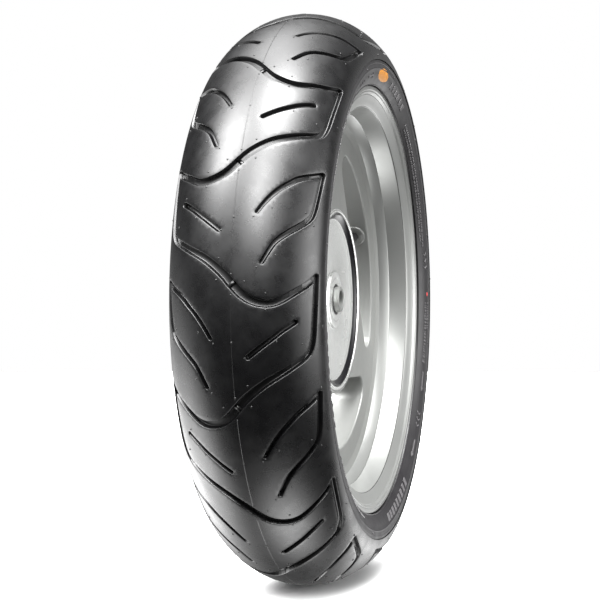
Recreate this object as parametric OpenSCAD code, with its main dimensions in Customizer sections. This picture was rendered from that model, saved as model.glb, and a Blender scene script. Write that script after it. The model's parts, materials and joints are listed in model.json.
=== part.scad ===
// Motorcycle tyre on its wheel: a radial rear tyre, a three spoke rim and the bearings it turns on.
// The wheel axis is +Y, the origin is the wheel centre, +Z is up and +X is the way the tread faces.
// Cross sections are drawn as [radius, place along the axis].

/* [Tyre size] */
// Outside diameter of the tyre at the centre of the tread
tyre_d = 624; // [612:1:640]
// Radius of the rounded crown, across the tyre
crown_r = 90; // [86:0.5:96]
// Widest point of the sidewall, from the centre plane
section_half_w = 78.6; // [76:0.1:82]
// Radius of the sidewall above its widest point
wall_r = 33.7; // [24:0.1:40]
// Height of the shoulder line, the edge between tread and sidewall, above the widest point
shoulder_line = 5; // [3:0.5:12]
// Rubber over the cords at the centre of the tread
tread_gauge = 9.5; // [8.5:0.1:11]
// Rubber over the cords at the widest point of the sidewall
sidewall_gauge = 5.1; // [4.5:0.1:6]
// Thickness of the harder rubber under the tread
undertread_t = 1.2; // [0.8:0.1:1.6]
// Thickness of the zero degree belt
belt_t = 1.2; // [0.8:0.1:1.4]
// Angle that the belt covers on each side of the centre line
belt_sweep = 43; // [36:0.5:45]
// Thickness of one carcass ply
ply_t = 0.8; // [0.6:0.05:0.9]
// Thickness of the airtight liner
liner_t = 1.4; // [1:0.1:2]

/* [Bead] */
// Radius of the bead wire bundle
bead_core_r = 3; // [2.5:0.1:3.3]
// Bead wire bundle, in from the rim flange
bead_core_in = 9.5; // [9:0.1:11]
// Bead wire bundle, up from the rim seat
bead_core_up = 6.3; // [5.8:0.1:7]
// Width of the tyre's foot on the rim seat
bead_foot_w = 19; // [17.5:0.1:20]
// Gap between the tyre's foot and the rim
bead_gap = 0.1; // [0.05:0.01:0.2]
// Gap between the sidewall and the top of the rim flange
flange_gap = 1.9; // [1.2:0.1:2.5]

/* [Tread pattern] */
// Number of pattern repeats round the tyre
pitches = 8; // [7:1:9]
// Plain rubber between the grooves' corners and the shoulder line, along the tread
shoulder_land = 13.9; // [10:0.1:20]
// Rubber left under the grooves at the centre of the tread
groove_floor_t = 1.1; // [0.8:0.1:2.5]
// Width of the main groove at the centre line
main_groove_w = 10.2; // [8:0.1:11]
// Width of the main groove near the shoulder
main_groove_shoulder_w = 8.2; // [6:0.1:9]
// Width of the branch grooves where they are widest
branch_groove_w = 7.6; // [6:0.1:8.5]
// Width of the branch grooves at their inner ends
branch_groove_end_w = 5.6; // [4:0.1:6.5]
// Width of the short bar grooves
bar_groove_w = 6.8; // [5:0.1:8]

/* [Rim] */
// Diameter of the rim where the tyre's heel sits
rim_d = 436.6; // [434:0.1:440]
// Width between the rim flanges
rim_w = 114.3; // [110:0.1:117]
// Height of the rim flange over the seat
flange_h = 14; // [13:0.1:14.5]
// Radius of the flange's curl
flange_curl_r = 9.5; // [9:0.1:10]
// Thickness of the flange's edge
flange_t = 4; // [3:0.1:4.5]
// Taper of the seats
seat_taper = 5; // [4.5:0.1:5.5]
// Height of the hump that keeps the tyre's foot on its seat
hump_h = 1.2; // [0.6:0.1:1.6]
// Depth of the well under the heel
well_depth = 23.3; // [21:0.1:24]
// Half the width of the well's floor
well_half_w = 15; // [12:0.5:18]
// Wall at the well
well_wall = 5.5; // [4:0.1:6.5]
// Wall under the outer edge of the seat
seat_wall = 7.9; // [6:0.1:9]
// Wall under the inner edge of the seat
inner_seat_wall = 13.2; // [10:0.1:14]

/* [Wheel centre] */
// Front face of the spokes, from the centre plane
face_y = 26; // [24:0.5:27]
// Back face of the spokes, from the centre plane
back_y = -8; // [-12:0.5:-4]
// Number of spokes
spokes = 3; // [3:1:5]
// Outer radius of the windows between the spokes
window_outer_r = 165; // [160:0.5:170]
// Inner radius of the windows between the spokes
window_inner_r = 103.3; // [101.5:0.1:108]
// Corner radius at the outer end of a window
window_outer_fillet = 16; // [12:0.5:20]
// Corner radius at the inner end of a window
window_inner_fillet = 6; // [4:0.5:8]
// Outer corner of a window, from the middle of the spoke
window_outer_turn = 14.8; // [12:0.1:18]
// Inner corner of a window, from the middle of the spoke
window_inner_turn = 29.7; // [27:0.1:34]
// Radius of the lip round the hub's dish
lip_r = 98; // [96:0.5:99.5]
// Height of the lip over the spokes
lip_h = 1.2; // [0.6:0.1:2]
// Width of the lip's flat top
lip_w = 2.4; // [1.5:0.1:3]
// Radius of the dish's floor
dish_r = 86; // [80:0.5:90]
// Depth of the dish's floor under the spokes' face
dish_depth = 5; // [3:0.1:7]
// Radius of the boss in the middle of the dish
boss_r = 31; // [30:0.5:34]
// Height of the boss over the dish's floor
boss_h = 3.3; // [2.5:0.1:5]
// Radius of the hub barrel behind the spokes
hub_r = 34; // [32:0.5:40]
// Left end of the hub barrel, from the centre plane
hub_left_y = -50; // [-56:0.5:-46]

/* [Bearings and axle] */
// Diameter of the axle hole
axle_d = 20; // [17:0.1:21]
// Outside diameter of a bearing
bearing_d = 47; // [46:0.1:50]
// Width of a bearing
bearing_w = 14; // [12:0.1:15]
// Diameter of a bearing ball
ball_d = 7.94; // [7:0.01:8.5]
// Number of balls in a bearing
balls = 8; // [7:1:9]
// Gap between a ball and its races
ball_gap = 0.06; // [0.03:0.01:0.09]
// Depth of a dust seal
seal_w = 4; // [3.2:0.1:5]
// Outside diameter of the axle collars
collar_d = 28; // [26.5:0.1:29]
// How far a collar stands out of its dust seal
collar_out = 6; // [3:0.5:10]
// Gap between a dust seal and its collar
seal_gap = 0.06; // [0.03:0.01:0.09]

/* [Valve] */
// Place of the valve round the wheel, up from +X
valve_turn = 153; // [140:1:158]
// Place of the valve from the centre plane
valve_y = 9.5; // [6:0.5:11]
// Radius of the raised ring round the valve
valve_boss_r = 12; // [10:0.5:13]
// Height of the raised ring round the valve
valve_boss_h = 1.2; // [0.8:0.1:1.6]
// Diameter of the valve hole
valve_hole_d = 8.3; // [8:0.1:8.8]
// Metal left round the valve hole
valve_seat_t = 6; // [4:0.1:8]
// Length of the valve stem, out of its seat
valve_l = 32; // [28:0.5:36]
// Diameter of the valve's thread
valve_thread_d = 7.7; // [7.5:0.1:8]
// Travel of the valve pin
pin_travel = 1.5; // [0.8:0.1:2]

/* [Hidden] */
$fn = 80;

RUBBER = "#26262a";
DARK_RUBBER = "#1c1c20";
CORD = "#8d7a55";
STEEL = "#9aa0a6";
ALLOY = "#d9dadb";
BRASS = "#b58f4a";

tyre_r = tyre_d / 2;
rim_r = rim_d / 2;
flange_y = rim_w / 2;
flange_top = rim_r + flange_h;
curl_c = [flange_y + flange_curl_r, flange_top - flange_curl_r];
pitch_turn = 360 / pitches;

// ---- helpers ------------------------------------------------------------------------------

// Points of an arc in the section plane, where a point is [along the axis, radius]
function arc(c, r, from, to, n) = [for (i = [0:n]) c + r * unit(from + (to - from) * i / n)];
function reverse(p) = [for (i = [len(p) - 1:-1:0]) p[i]];
function mirrored(p) = [for (i = [len(p) - 1:-1:0]) [-p[i][0], p[i][1]]];
// A line on the right side, continued over the centre plane to the left side
function both(p) = concat(mirrored(p), [for (i = [1:len(p) - 1]) p[i]]);
function unit(a) = [cos(a), sin(a)];

// Turns a section of [along the axis, radius] points about the wheel axis
module turned(points, facets = $fn) {
    rotate([-90, 0, 0]) rotate_extrude($fn = facets) polygon([for (p = points) [p[1], p[0]]]);
}

// One side of the wheel: the right side as drawn, the left side mirrored
module side(s) {
    if (s > 0) children();
    else mirror([0, 1, 0]) children();
}

// A ring about the wheel axis
module ring(inner, outer, from, to) {
    turned([[from, inner], [to, inner], [to, outer], [from, outer]]);
}

// ---- tyre section -------------------------------------------------------------------------

// Outside: crown arc, then a sidewall arc that leaves it smoothly and reaches the widest point
crown_sweep = asin((section_half_w - wall_r) / (crown_r - wall_r));
crown_c = [0, tyre_r - crown_r];
wall_c = crown_c + (crown_r - wall_r) * unit(90 - crown_sweep);
shoulder_turn = asin(shoulder_line / wall_r);
// The sidewall arc ends a little above the rim flange
wall_foot_h = 3.85;
foot_turn = -asin((wall_c[1] - flange_top - wall_foot_h) / wall_r);

// Outer face of the cords: the same kind of two arcs, further in
cord_top = tyre_r - tread_gauge;
cord_wall_in = 7.2;
cord_wall_down = 2;
cord_wall_r = wall_r - cord_wall_in;
cord_wall_c = [section_half_w - sidewall_gauge - cord_wall_r, wall_c[1] - cord_wall_down];
cord_drop = cord_top - cord_wall_c[1] - cord_wall_r;
cord_rise = (pow(cord_wall_c[0], 2) - pow(cord_drop, 2)) / (2 * cord_drop);
cord_c = [0, cord_wall_c[1] - cord_rise];
cord_r = cord_top - cord_c[1];
cord_turn = atan2(cord_rise, cord_wall_c[0]);

// Below the widest point the cords turn in tightly and run straight to the bead wire
lower_r = 16;
lower_c = cord_wall_c + [cord_wall_r - lower_r, 0];
core = [flange_y - bead_core_in, rim_r + bead_core_up];
to_core = core - lower_c;
lower_turn = atan2(to_core[1], to_core[0]) + acos((lower_r + bead_core_r) / norm(to_core));
wrap_from = lower_turn + 180;
// The cords turn up outside the wire, as far as the tip of the filler
apex_share = 0.71;
apex_turn = apex_share * lower_turn;
apex_tip = lower_c + lower_r * unit(apex_turn);
to_tip = apex_tip - core;
wrap_to = 360 + atan2(to_tip[1], to_tip[0]) - acos(bead_core_r / norm(to_tip));
turn_up_stop = 0.8;
turn_up_end = apex_tip - turn_up_stop * unit(wrap_to + 90);
plies_t = 2 * ply_t;

// Lines along the cords, moved in by o. All layers share these points, so their faces meet.
function tail(p) = [for (i = [1:len(p) - 1]) p[i]];
function cord_crown(o) = arc(cord_c, cord_r - o, 90, 90 - belt_sweep, 5);
function cord_wall(o) = arc(cord_wall_c, cord_wall_r - o, cord_turn, 0, 4);
function cord_lower(o) = concat(
    arc(lower_c, lower_r - o, 0, apex_turn, 3),
    [lower_c + (lower_r - o) * unit(lower_turn)]
);
function cord_line(o) = concat(cord_crown(o), cord_wall(o), tail(cord_lower(o)));
function wrap(o) = arc(core, bead_core_r + o, wrap_from, wrap_to, 10);
function ply_line(o) = concat(cord_line(o), wrap(o), [turn_up_end + o * unit(wrap_to)]);
function ply(o) = concat(both(ply_line(o)), reverse(both(ply_line(o + ply_t))));
function liner_line(o) = concat(cord_line(o), [core + (bead_core_r + o) * unit(wrap_from)]);

// The undertread ends on the first step of the cords' wall arc, the tread on the second
under_edge = cord_wall(0)[1];
tread_edge = cord_wall(0)[2];
function under_top() = concat(cord_crown(-belt_t - undertread_t), [under_edge]);

// Outside of the tyre, from the centre plane to the shoulder line
tread_outside = concat(
    arc(crown_c, crown_r, 90, 90 - crown_sweep, 6),
    tail(arc(wall_c, wall_r, 90 - crown_sweep, shoulder_turn, 2))
);
// Outside of the tyre, from the shoulder line to where it leaves the rim flange
curl_leave = 130;
curl_fit_r = flange_curl_r + bead_gap;
flange_top_gap_w = 3.6;
wall_outside = concat(
    arc(wall_c, wall_r, shoulder_turn, foot_turn, 8),
    [
        [curl_c[0] + flange_top_gap_w, flange_top + flange_gap * 1.3],
        [curl_c[0], flange_top + flange_gap],
        [curl_c[0] - flange_top_gap_w, flange_top + flange_gap / 3],
    ]
);
// Face of the tyre's foot against the rim, from the flange to the toe
function seat_at(y) = rim_r - (flange_y - y) * tan(seat_taper);
rim_heel_r = 2.5;
foot_heel = 3;
toe_bevel = [1, 1.1];
toe_y = flange_y - bead_foot_w;
foot_outside = concat(
    arc(curl_c, curl_fit_r, curl_leave, 180, 5),
    [
        [flange_y - bead_gap, rim_r + foot_heel],
        [flange_y - foot_heel, seat_at(flange_y - foot_heel) + bead_gap],
        [toe_y, seat_at(toe_y) + bead_gap],
        [toe_y - toe_bevel[0], seat_at(toe_y) + bead_gap + toe_bevel[1]],
    ]
);
// Where the chafer meets the sidewall, on the outer face of the turned up cords
chafer_share = 0.4;
wrap_end = core + (bead_core_r + plies_t) * unit(wrap_to);
chafer_top = wrap_end + chafer_share * (turn_up_end + plies_t * unit(wrap_to) - wrap_end);

// ---- tread pattern ------------------------------------------------------------------------

tread_facets = 8 * pitches;
tread_sag = cord_top * (1 - cos(180 / tread_facets));
crown_l = crown_r * crown_sweep * PI / 180;
wall_l = wall_r * (90 - crown_sweep - shoulder_turn) * PI / 180;
groove_reach = crown_l + wall_l - shoulder_land;

// Groove routes as [share of the reach from the centre line, share of one pitch round the tyre].
// The left half repeats the right half, mirrored and moved round by half a pitch.
MAIN_ROUTE = [
    [-0.03, 0.074], [0.13, 0.016], [0.28, -0.01], [0.48, -0.012], [0.72, 0.028], [1, 0.098],
    [0.985, 0], [0.96, -0.13], [0.92, -0.205], [0.83, -0.248],
    [0.6, -0.292], [0.36, -0.333], [0.16, -0.378], [-0.03, -0.45],
];
BRANCH_ROUTE = [
    [0.26, 0.35], [0.38, 0.41], [0.54, 0.47], [0.76, 0.528], [1, 0.571],
    [0.965, 0.49], [0.93, 0.405], [0.88, 0.36], [0.72, 0.297], [0.58, 0.262], [0.46, 0.222], [0.34, 0.147],
];
BAR_ROUTE = [[0.17, -0.225], [0.4, -0.166], [0.72, -0.094]];

// How wide and how deep a groove is where it lies a share p of the reach from the centre line
function main_w(p) = lookup(abs(p), [[0, main_groove_w], [0.7, main_groove_shoulder_w]]);
function branch_w(p) = lookup(abs(p), [[0.3, branch_groove_end_w], [0.7, branch_groove_w]]);
function depth_at(p) = let (
    surface = on_section(abs(p) * groove_reach, 0),
    from_wall = surface - cord_wall_c,
    gauge = atan2(from_wall[1], from_wall[0]) < cord_turn
        ? norm(from_wall) - cord_wall_r
        : norm(surface - cord_c) - cord_r
) gauge - belt_t - undertread_t - tread_sag - groove_floor_t;

// A point of the section, s along the outside from the centre line and raised by up
function on_section(s, up) = s < crown_l
    ? crown_c + (crown_r + up) * unit(90 - s / crown_r * 180 / PI)
    : wall_c + (wall_r + up) * unit(90 - crown_sweep - (s - crown_l) / wall_r * 180 / PI);
// A point on the tread: x across from the centre line, y round the tyre, both along the surface
function on_tread(p, up) = let (
    q = on_section(abs(p[0]), up),
    along = p[1] / tyre_r * 180 / PI
) [q[1] * cos(along), sign(p[0]) * q[0], q[1] * sin(along)];

// One groove cutter, swept along its route with mitred corners. Each section has four points.
cutter_rise = 2;
function heading(a, b) = (b - a) / norm(b - a);
function mitre(route, i) = let (
    last = len(route) - 1,
    before = heading(route[max(0, i - 1)], route[max(1, i)]),
    after = heading(route[min(last - 1, i)], route[min(last, i + 1)]),
    mid = (before + after) / norm(before + after),
    stretch = 1 / max(0.55, mid * after)
) [-mid[1], mid[0]] * stretch;
function groove_section(route, i, w, depth) = let (n = mitre(route, i)) [
    on_tread(route[i] - n * w * 0.4, -depth),
    on_tread(route[i] + n * w * 0.4, -depth),
    on_tread(route[i] + n * w * 0.54, cutter_rise),
    on_tread(route[i] - n * w * 0.54, cutter_rise),
];

module groove(shares, widths) {
    route = [for (p = shares) [p[0] * groove_reach, p[1] * PI * tyre_d / pitches]];
    last = len(route) - 1;
    points = [for (i = [0:last]) each groove_section(route, i, widths[i], depth_at(shares[i][0]))];
    walls = [for (i = [0:last - 1]) for (j = [0:3]) let (k = (j + 1) % 4)
        [i * 4 + j, i * 4 + 4 + j, i * 4 + 4 + k, i * 4 + k]];
    polyhedron(points, concat(walls, [[0, 1, 2, 3], [for (j = [3:-1:0]) last * 4 + j]]));
}
module main_groove(shares) groove(shares, [for (p = shares) main_w(p[0])]);
module branch_groove(shares) groove(shares, [for (p = shares) branch_w(p[0])]);

module half_pitch_grooves() {
    main_groove(MAIN_ROUTE);
    branch_groove(BRANCH_ROUTE);
    groove(BAR_ROUTE, [for (p = BAR_ROUTE) bar_groove_w]);
}

module grooves() {
    for (i = [0:pitches - 1])
        rotate([0, -i * pitch_turn, 0]) {
            half_pitch_grooves();
            rotate([0, pitch_turn / 2, 0]) mirror([0, 1, 0]) half_pitch_grooves();
        }
}

// ---- tyre pieces --------------------------------------------------------------------------

// The tread is cut from flat facets, which sag below the true circle, so it is raised by the sag
function raised(p) = [for (q = p) q + [0, tread_sag]];

module tread_blank() {
    outside = [for (i = [0:len(tread_outside) - 2]) tread_outside[i]];
    edge = raised([tread_outside[len(tread_outside) - 1], tread_edge]);
    underside = both(raised(concat(under_top(), [tread_edge])));
    inner = [for (i = [1:len(underside) - 2]) underside[i]];
    turned(concat(both(concat(outside, edge)), reverse(inner)), tread_facets);
}

module tread() {
    color(RUBBER) difference() {
        tread_blank();
        grooves();
    }
}

module undertread() {
    top = under_top();
    belt_edge = [cord_wall(0)[0], cord_crown(0)[5]];
    underside = concat(cord_crown(-belt_t), reverse(belt_edge));
    color(DARK_RUBBER) turned(concat(both(top), reverse(both(underside))));
}

module belt() {
    color(STEEL) turned(concat(both(cord_crown(-belt_t)), reverse(both(cord_crown(0)))));
}

module ply_outer() {
    color(CORD) turned(ply(0));
}

module ply_inner() {
    color(CORD) turned(ply(ply_t));
}

module liner() {
    outside = both(liner_line(plies_t));
    inside = both(liner_line(plies_t + liner_t));
    color(DARK_RUBBER) turned(concat(outside, reverse(inside)));
}

module sidewall() {
    inside = concat(
        [chafer_top, turn_up_end + plies_t * unit(wrap_to), turn_up_end],
        reverse(arc(lower_c, lower_r, 0, apex_turn, 3)),
        [cord_wall(0)[3], tread_edge]
    );
    color(DARK_RUBBER) turned(concat(wall_outside, [foot_outside[0]], inside));
}

module apex() {
    over_core = arc(core, bead_core_r, wrap_from, wrap_to - 360, 8);
    color(DARK_RUBBER) turned(concat([apex_tip, cord_lower(0)[4]], over_core, [turn_up_end]));
}

module bead_core() {
    under = arc(core, bead_core_r, wrap_from, wrap_to, 10);
    over = arc(core, bead_core_r, wrap_to, wrap_from + 360, 8);
    color(STEEL) turned(concat(under, [for (i = [1:7]) over[i]]));
}

module chafer() {
    inside = concat(
        [core + (bead_core_r + plies_t + liner_t) * unit(wrap_from)],
        wrap(plies_t),
        [chafer_top]
    );
    color(RUBBER) turned(concat(foot_outside, inside));
}

// ---- wheel --------------------------------------------------------------------------------

well_r = rim_r - well_depth;
well_inner_r = well_r - well_wall;
// The seat, and the hump inward of it
seat_w = 20.5;
hump_w = 3;
seat_in = flange_y - seat_w;
hump_y = seat_in - hump_w;
// The bright band inside the rim, under the seat, and the step that it ends in
band_out_y = flange_y + 1.3;
band_in_y = flange_y - 17.8;
band_out = [band_out_y, rim_r - seat_wall];
band_in = [band_in_y, seat_at(band_in_y) - inner_seat_wall];
band_foot = band_in - [0.4, 0.8];
// Where the barrel meets the wheel centre
joint_w = 14;
joint_drop = 7.5;
well_inner_y = face_y - joint_w;
barrel_foot = [face_y, band_foot[1] - joint_drop];
// Small steps, each from the point it is named for: [along the axis, radius]
flange_edge_r = 0.8;
HUMP_STEPS = [[-4, -1], [-1.5, hump_h], [1, hump_h], [hump_w, 0]];
FLANGE_STEPS = [[0.75, 0], [-0.35, -0.9], [-1.6, -3], [-3, -5]];
BAND_STEPS = [[2.6, 5.5], [0.7, 0.9], [0, 0]];
function steps(from, points) = [for (p = points) from + p];

// Right half of the barrel, from the centre plane round the flange and back inside
barrel_outside = concat(
    [
        [0, well_r],
        [well_half_w, well_r],
    ],
    steps([hump_y, seat_at(seat_in)], HUMP_STEPS),
    arc([flange_y - rim_heel_r, seat_at(flange_y - rim_heel_r) + rim_heel_r], rim_heel_r, 270, 360, 4),
    arc(curl_c, flange_curl_r, 180, 90, 8),
    arc([curl_c[0], flange_top - flange_edge_r], flange_edge_r, 60, 0, 2),
    steps([curl_c[0], flange_top - flange_t], FLANGE_STEPS),
    steps(band_out, BAND_STEPS),
    [
        band_in,
        band_foot,
        barrel_foot,
        [well_inner_y, well_inner_r],
        [0, well_inner_r],
    ]
);

module at_valve() {
    turn = 90 - (valve_turn + 180);
    translate([window_outer_r * cos(valve_turn), valve_y, window_outer_r * sin(valve_turn)])
    rotate([0, turn, 0])
    children();
}

valve_pocket_r = 9;
valve_pocket_l = 60;
valve_clear = 0.05;

// The pocket behind the valve's seat, and the hole through the seat
module valve_cuts() {
    pocket_h = valve_pocket_l - valve_seat_t;
    hole_h = valve_seat_t + valve_boss_h + 2;
    at_valve() {
        translate([0, 0, -valve_pocket_l]) cylinder(h = pocket_h, r = valve_pocket_r);
        translate([0, 0, -valve_seat_t - 1]) cylinder(h = hole_h, d = valve_hole_d);
    }
}

module rim_barrel() {
    color(ALLOY) difference() {
        turned(concat(mirrored(barrel_outside), barrel_outside));
        valve_cuts();
    }
}

// Outline of one window: an arc along the rim, an arc along the hub and four rounded corners.
// t turns it from the spoke on its one side to the spoke on its other side.
function window_half(t) = let (
    outer_c = (window_outer_r - window_outer_fillet) * unit(window_outer_turn),
    inner_c = (window_inner_r + window_inner_fillet) * unit(window_inner_turn),
    run = inner_c - outer_c,
    lean = atan2(run[1], run[0]) - 270 - asin((window_outer_fillet - window_inner_fillet) / norm(run))
) concat(
    arc(outer_c, window_outer_fillet, window_outer_turn, lean, 6),
    arc(inner_c, window_inner_fillet, lean, window_inner_turn - 180, 6)
);
window_turn = 360 / spokes;
function turned_points(p, t) = [for (q = p) q[0] * unit(t) + q[1] * unit(t + 90)];
function window_outline() = let (
    near = window_half(0),
    far = turned_points([for (q = reverse(near)) [q[0], -q[1]]], window_turn),
    hub_arc = arc([0, 0], window_inner_r, window_inner_turn, window_turn - window_inner_turn, 16),
    rim_arc = arc([0, 0], window_outer_r, window_turn - window_outer_turn, window_outer_turn, 24)
) concat(
    near,
    [for (i = [1:15]) hub_arc[i]],
    far,
    [for (i = [1:23]) rim_arc[i]]
);

// One spoke points up, and the windows lie between the spokes
module windows() {
    for (i = [0:spokes - 1])
        rotate([0, -90 - i * window_turn, 0])
        translate([0, back_y - 1, 0])
        rotate([-90, 0, 0])
        mirror([0, 1, 0])
        linear_extrude(height = face_y - back_y + 6)
        polygon(window_outline());
}

bearing_r = bearing_d / 2;
axle_r = axle_d / 2;
dish_y = face_y - dish_depth;
boss_y = dish_y + boss_h;
right_y = boss_y - seal_w - bearing_w / 2;
left_y = hub_left_y + seal_w + bearing_w / 2;
// Ledge that a bearing's outer race rests on
bearing_ledge = 5.5;
hub_bore_r = bearing_r - bearing_ledge;
// Metal from the dish's floor to the back of the hub
dish_t = 13;
dish_back_y = dish_y - dish_t;
lip_y = face_y + lip_h;
lip_in_r = lip_r - lip_w;
// Bevels of the lip, and of the boss and hub barrel
lip_bevel = 0.3;
hub_bevel = 1;
// The dish's floor curves up to the lip, as [height over the floor, share of the way to the lip]
DISH_STEPS = [[0.6, 0.36], [1.9, 0.73], [3.8, 0.98]];
// The face curves up to the barrel, as [height over the face, how far under the joint]
COVE_STEPS = [[0, -8.5], [0.6, -4.7], [1.5, -1.8]];
joint_share = 0.2;
// The cone behind the dish, and the fillet at the root of the hub barrel
cone_out_r = window_inner_r + 3;
cone_in_r = window_inner_r - 6;
hub_fillet = 4;

// Section of the wheel centre: bearing seats, dish, lip, face, rim seat and back
centre_section = [
    [hub_left_y, bearing_r],
    [left_y + bearing_w / 2, bearing_r],
    [left_y + bearing_w / 2, hub_bore_r],
    [right_y - bearing_w / 2, hub_bore_r],
    [right_y - bearing_w / 2, bearing_r],
    [boss_y, bearing_r],
    [boss_y, boss_r - hub_bevel],
    [boss_y - hub_bevel, boss_r],
    [dish_y, boss_r],
    [dish_y, dish_r],
    for (p = DISH_STEPS) [dish_y + p[0], dish_r + p[1] * (lip_in_r - dish_r)],
    [lip_y - lip_bevel, lip_in_r],
    [lip_y, lip_in_r + lip_bevel],
    [lip_y, lip_r - lip_bevel],
    [lip_y - lip_bevel, lip_r],
    [face_y, lip_r],
    for (p = COVE_STEPS) barrel_foot + p,
    barrel_foot + joint_share * (band_foot - barrel_foot),
    barrel_foot,
    [well_inner_y, well_inner_r],
    [back_y, well_inner_r],
    [back_y, cone_out_r],
    [dish_back_y, cone_in_r],
    [dish_back_y, hub_r + hub_fillet],
    [dish_back_y - hub_fillet, hub_r],
    [hub_left_y + hub_bevel, hub_r],
    [hub_left_y, hub_r - hub_bevel],
];
valve_boss_root = 3;

module wheel_centre() {
    color(ALLOY) difference() {
        union() {
            difference() {
                turned(centre_section);
                windows();
            }
            at_valve()
                translate([0, 0, -valve_boss_root])
                cylinder(h = valve_boss_root + valve_boss_h, r = valve_boss_r);
        }
        valve_cuts();
    }
}

// ---- bearings and axle pieces -------------------------------------------------------------

ball_r = ball_d / 2;
groove_r = ball_r + ball_gap;
ball_ring_r = (bearing_r + axle_r) / 2;
race_land = 2.8;
outer_land_r = ball_ring_r + race_land;
inner_land_r = ball_ring_r - race_land;

// Half section of a race: a flat land with a groove for the balls
function race_groove(land_r) = let (
    h = abs(land_r - ball_ring_r),
    half = sqrt(pow(groove_r, 2) - pow(h, 2)),
    up = land_r > ball_ring_r ? 1 : -1,
    edge = atan2(h, half)
) [for (p = arc([0, 0], groove_r, edge, 180 - edge, 10)) [p[0], ball_ring_r + up * p[1]]];

module bearing_outer(y) {
    half = bearing_w / 2;
    outside = [[-half, outer_land_r], [-half, bearing_r], [half, bearing_r]];
    points = concat([[half, outer_land_r]], race_groove(outer_land_r), outside);
    color(STEEL) translate([0, y, 0]) turned(points);
}

module bearing_inner(y) {
    half = bearing_w / 2;
    inside = [[-half, inner_land_r], [-half, axle_r], [half, axle_r]];
    points = concat([[half, inner_land_r]], race_groove(inner_land_r), inside);
    color(STEEL) translate([0, y, 0]) turned(points);
}

module at_balls(y) {
    for (i = [0:balls - 1])
        rotate([0, i * 360 / balls, 0])
        translate([ball_ring_r, y, 0])
        children();
}

module ball_set(y) {
    color(STEEL) at_balls(y) sphere(r = ball_r, $fn = 32);
}

cage_half_w = ball_r + 1;
cage_half_t = 1.3;

module cage(y) {
    color(BRASS) difference() {
        ring(ball_ring_r - cage_half_t, ball_ring_r + cage_half_t, y - cage_half_w, y + cage_half_w);
        at_balls(y) rotate([0, 90, 0]) cylinder(h = 4 * cage_half_t, r = ball_r + ball_gap, center = true);
    }
}

// Two thin shields held in the outer race, clear of the inner race
shield_t = 0.8;
shield_in = 0.5;
shield_gap = 0.3;

module bearing_seals(y) {
    half = bearing_w / 2 - shield_in;
    shield_r = inner_land_r + shield_gap;
    color(DARK_RUBBER) {
        ring(shield_r, outer_land_r, y + half - shield_t, y + half);
        ring(shield_r, outer_land_r, y - half, y - half + shield_t);
    }
}

collar_r = collar_d / 2;

module dust_seal(from) {
    color(DARK_RUBBER) ring(collar_r + seal_gap, bearing_r, from, from + seal_w);
}

spacer_wall = 3.5;

module spacer_tube() {
    color(ALLOY) ring(axle_r, axle_r + spacer_wall, left_y + bearing_w / 2, right_y - bearing_w / 2);
}

module collar_right() {
    color(ALLOY) ring(axle_r, collar_r, right_y + bearing_w / 2, boss_y + collar_out);
}

module collar_left() {
    color(ALLOY) ring(axle_r, collar_r, hub_left_y - collar_out, left_y - bearing_w / 2);
}

// ---- valve, drawn from its seat in the wheel towards the wheel axis -------------------------

valve_hole_r = valve_hole_d / 2;
thread_r = valve_thread_d / 2;
stem_r = 2.7;
thread_l = 8;
stem_bore_r = 1.9;
core_from = 16;
core_to = valve_l - 3;
pin_r = 0.4;
pin_out = 0.6;
pin_disc_r = 1.5;
pin_foot_t = 0.6;
pin_bore_gap = 0.3;
pin_lift = 0.3;
valve_disc_t = 1;
spring_from = 4;
disc_to = core_from - pin_lift;

// The rubber's foot behind the seat, and its shoulder on the raised ring
foot_r = 8;
foot_t = 5;
foot_bevel = [1, 1.5];
shoulder_r = 5.8;
shoulder_t = 1.6;
SLEEVE = [[4.8, 4], [3.9, valve_l - thread_l - valve_boss_h]];

// Rubber: foot in the pocket, neck in the hole, shoulder on the raised ring, tapered sleeve
module valve_rubber() {
    foot = -valve_seat_t;
    color(DARK_RUBBER) at_valve() rotate_extrude() polygon([
        [stem_r, foot - foot_t],
        [foot_r - foot_bevel[0], foot - foot_t],
        [foot_r, foot - foot_t + foot_bevel[1]],
        [foot_r, foot],
        [valve_hole_r, foot],
        [valve_hole_r, valve_boss_h],
        [shoulder_r, valve_boss_h],
        [shoulder_r, valve_boss_h + shoulder_t],
        for (p = SLEEVE) [p[0], valve_boss_h + p[1]],
        [stem_r, valve_l - thread_l],
    ]);
}

module valve_stem() {
    stem_from = -valve_seat_t - foot_t;
    stem_h = valve_l - stem_from;
    color(BRASS) at_valve() difference() {
        union() {
            translate([0, 0, stem_from]) cylinder(h = stem_h, r = stem_r);
            translate([0, 0, valve_l - thread_l]) cylinder(h = thread_l, r = thread_r);
        }
        translate([0, 0, stem_from - 1]) cylinder(h = stem_h + 2, r = stem_bore_r);
    }
}

module valve_core() {
    color(BRASS) at_valve() difference() {
        translate([0, 0, core_from]) cylinder(h = core_to - core_from, r = stem_bore_r);
        translate([0, 0, core_from - 1]) cylinder(h = core_to - core_from + 2, r = pin_r + pin_bore_gap);
    }
}

// The pin carries a sealing disc under the core and a foot that the spring stands on
module valve_pin() {
    color(STEEL) at_valve() {
        translate([0, 0, spring_from]) cylinder(h = core_to + pin_out - spring_from, r = pin_r);
        translate([0, 0, disc_to - valve_disc_t]) cylinder(h = valve_disc_t, r = pin_disc_r);
        translate([0, 0, spring_from - pin_foot_t]) cylinder(h = pin_foot_t, r = pin_disc_r);
    }
}

// Spring between the pin's foot and its disc
spring_r = 1.2;
spring_wire = 0.3;
spring_turns = 6;
spring_end_gap = 0.02;
spring_bottom = spring_from + spring_wire / 2 + spring_end_gap;
spring_top = disc_to - valve_disc_t - spring_wire / 2 - spring_end_gap;
spring_steps = 16 * spring_turns;

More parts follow.
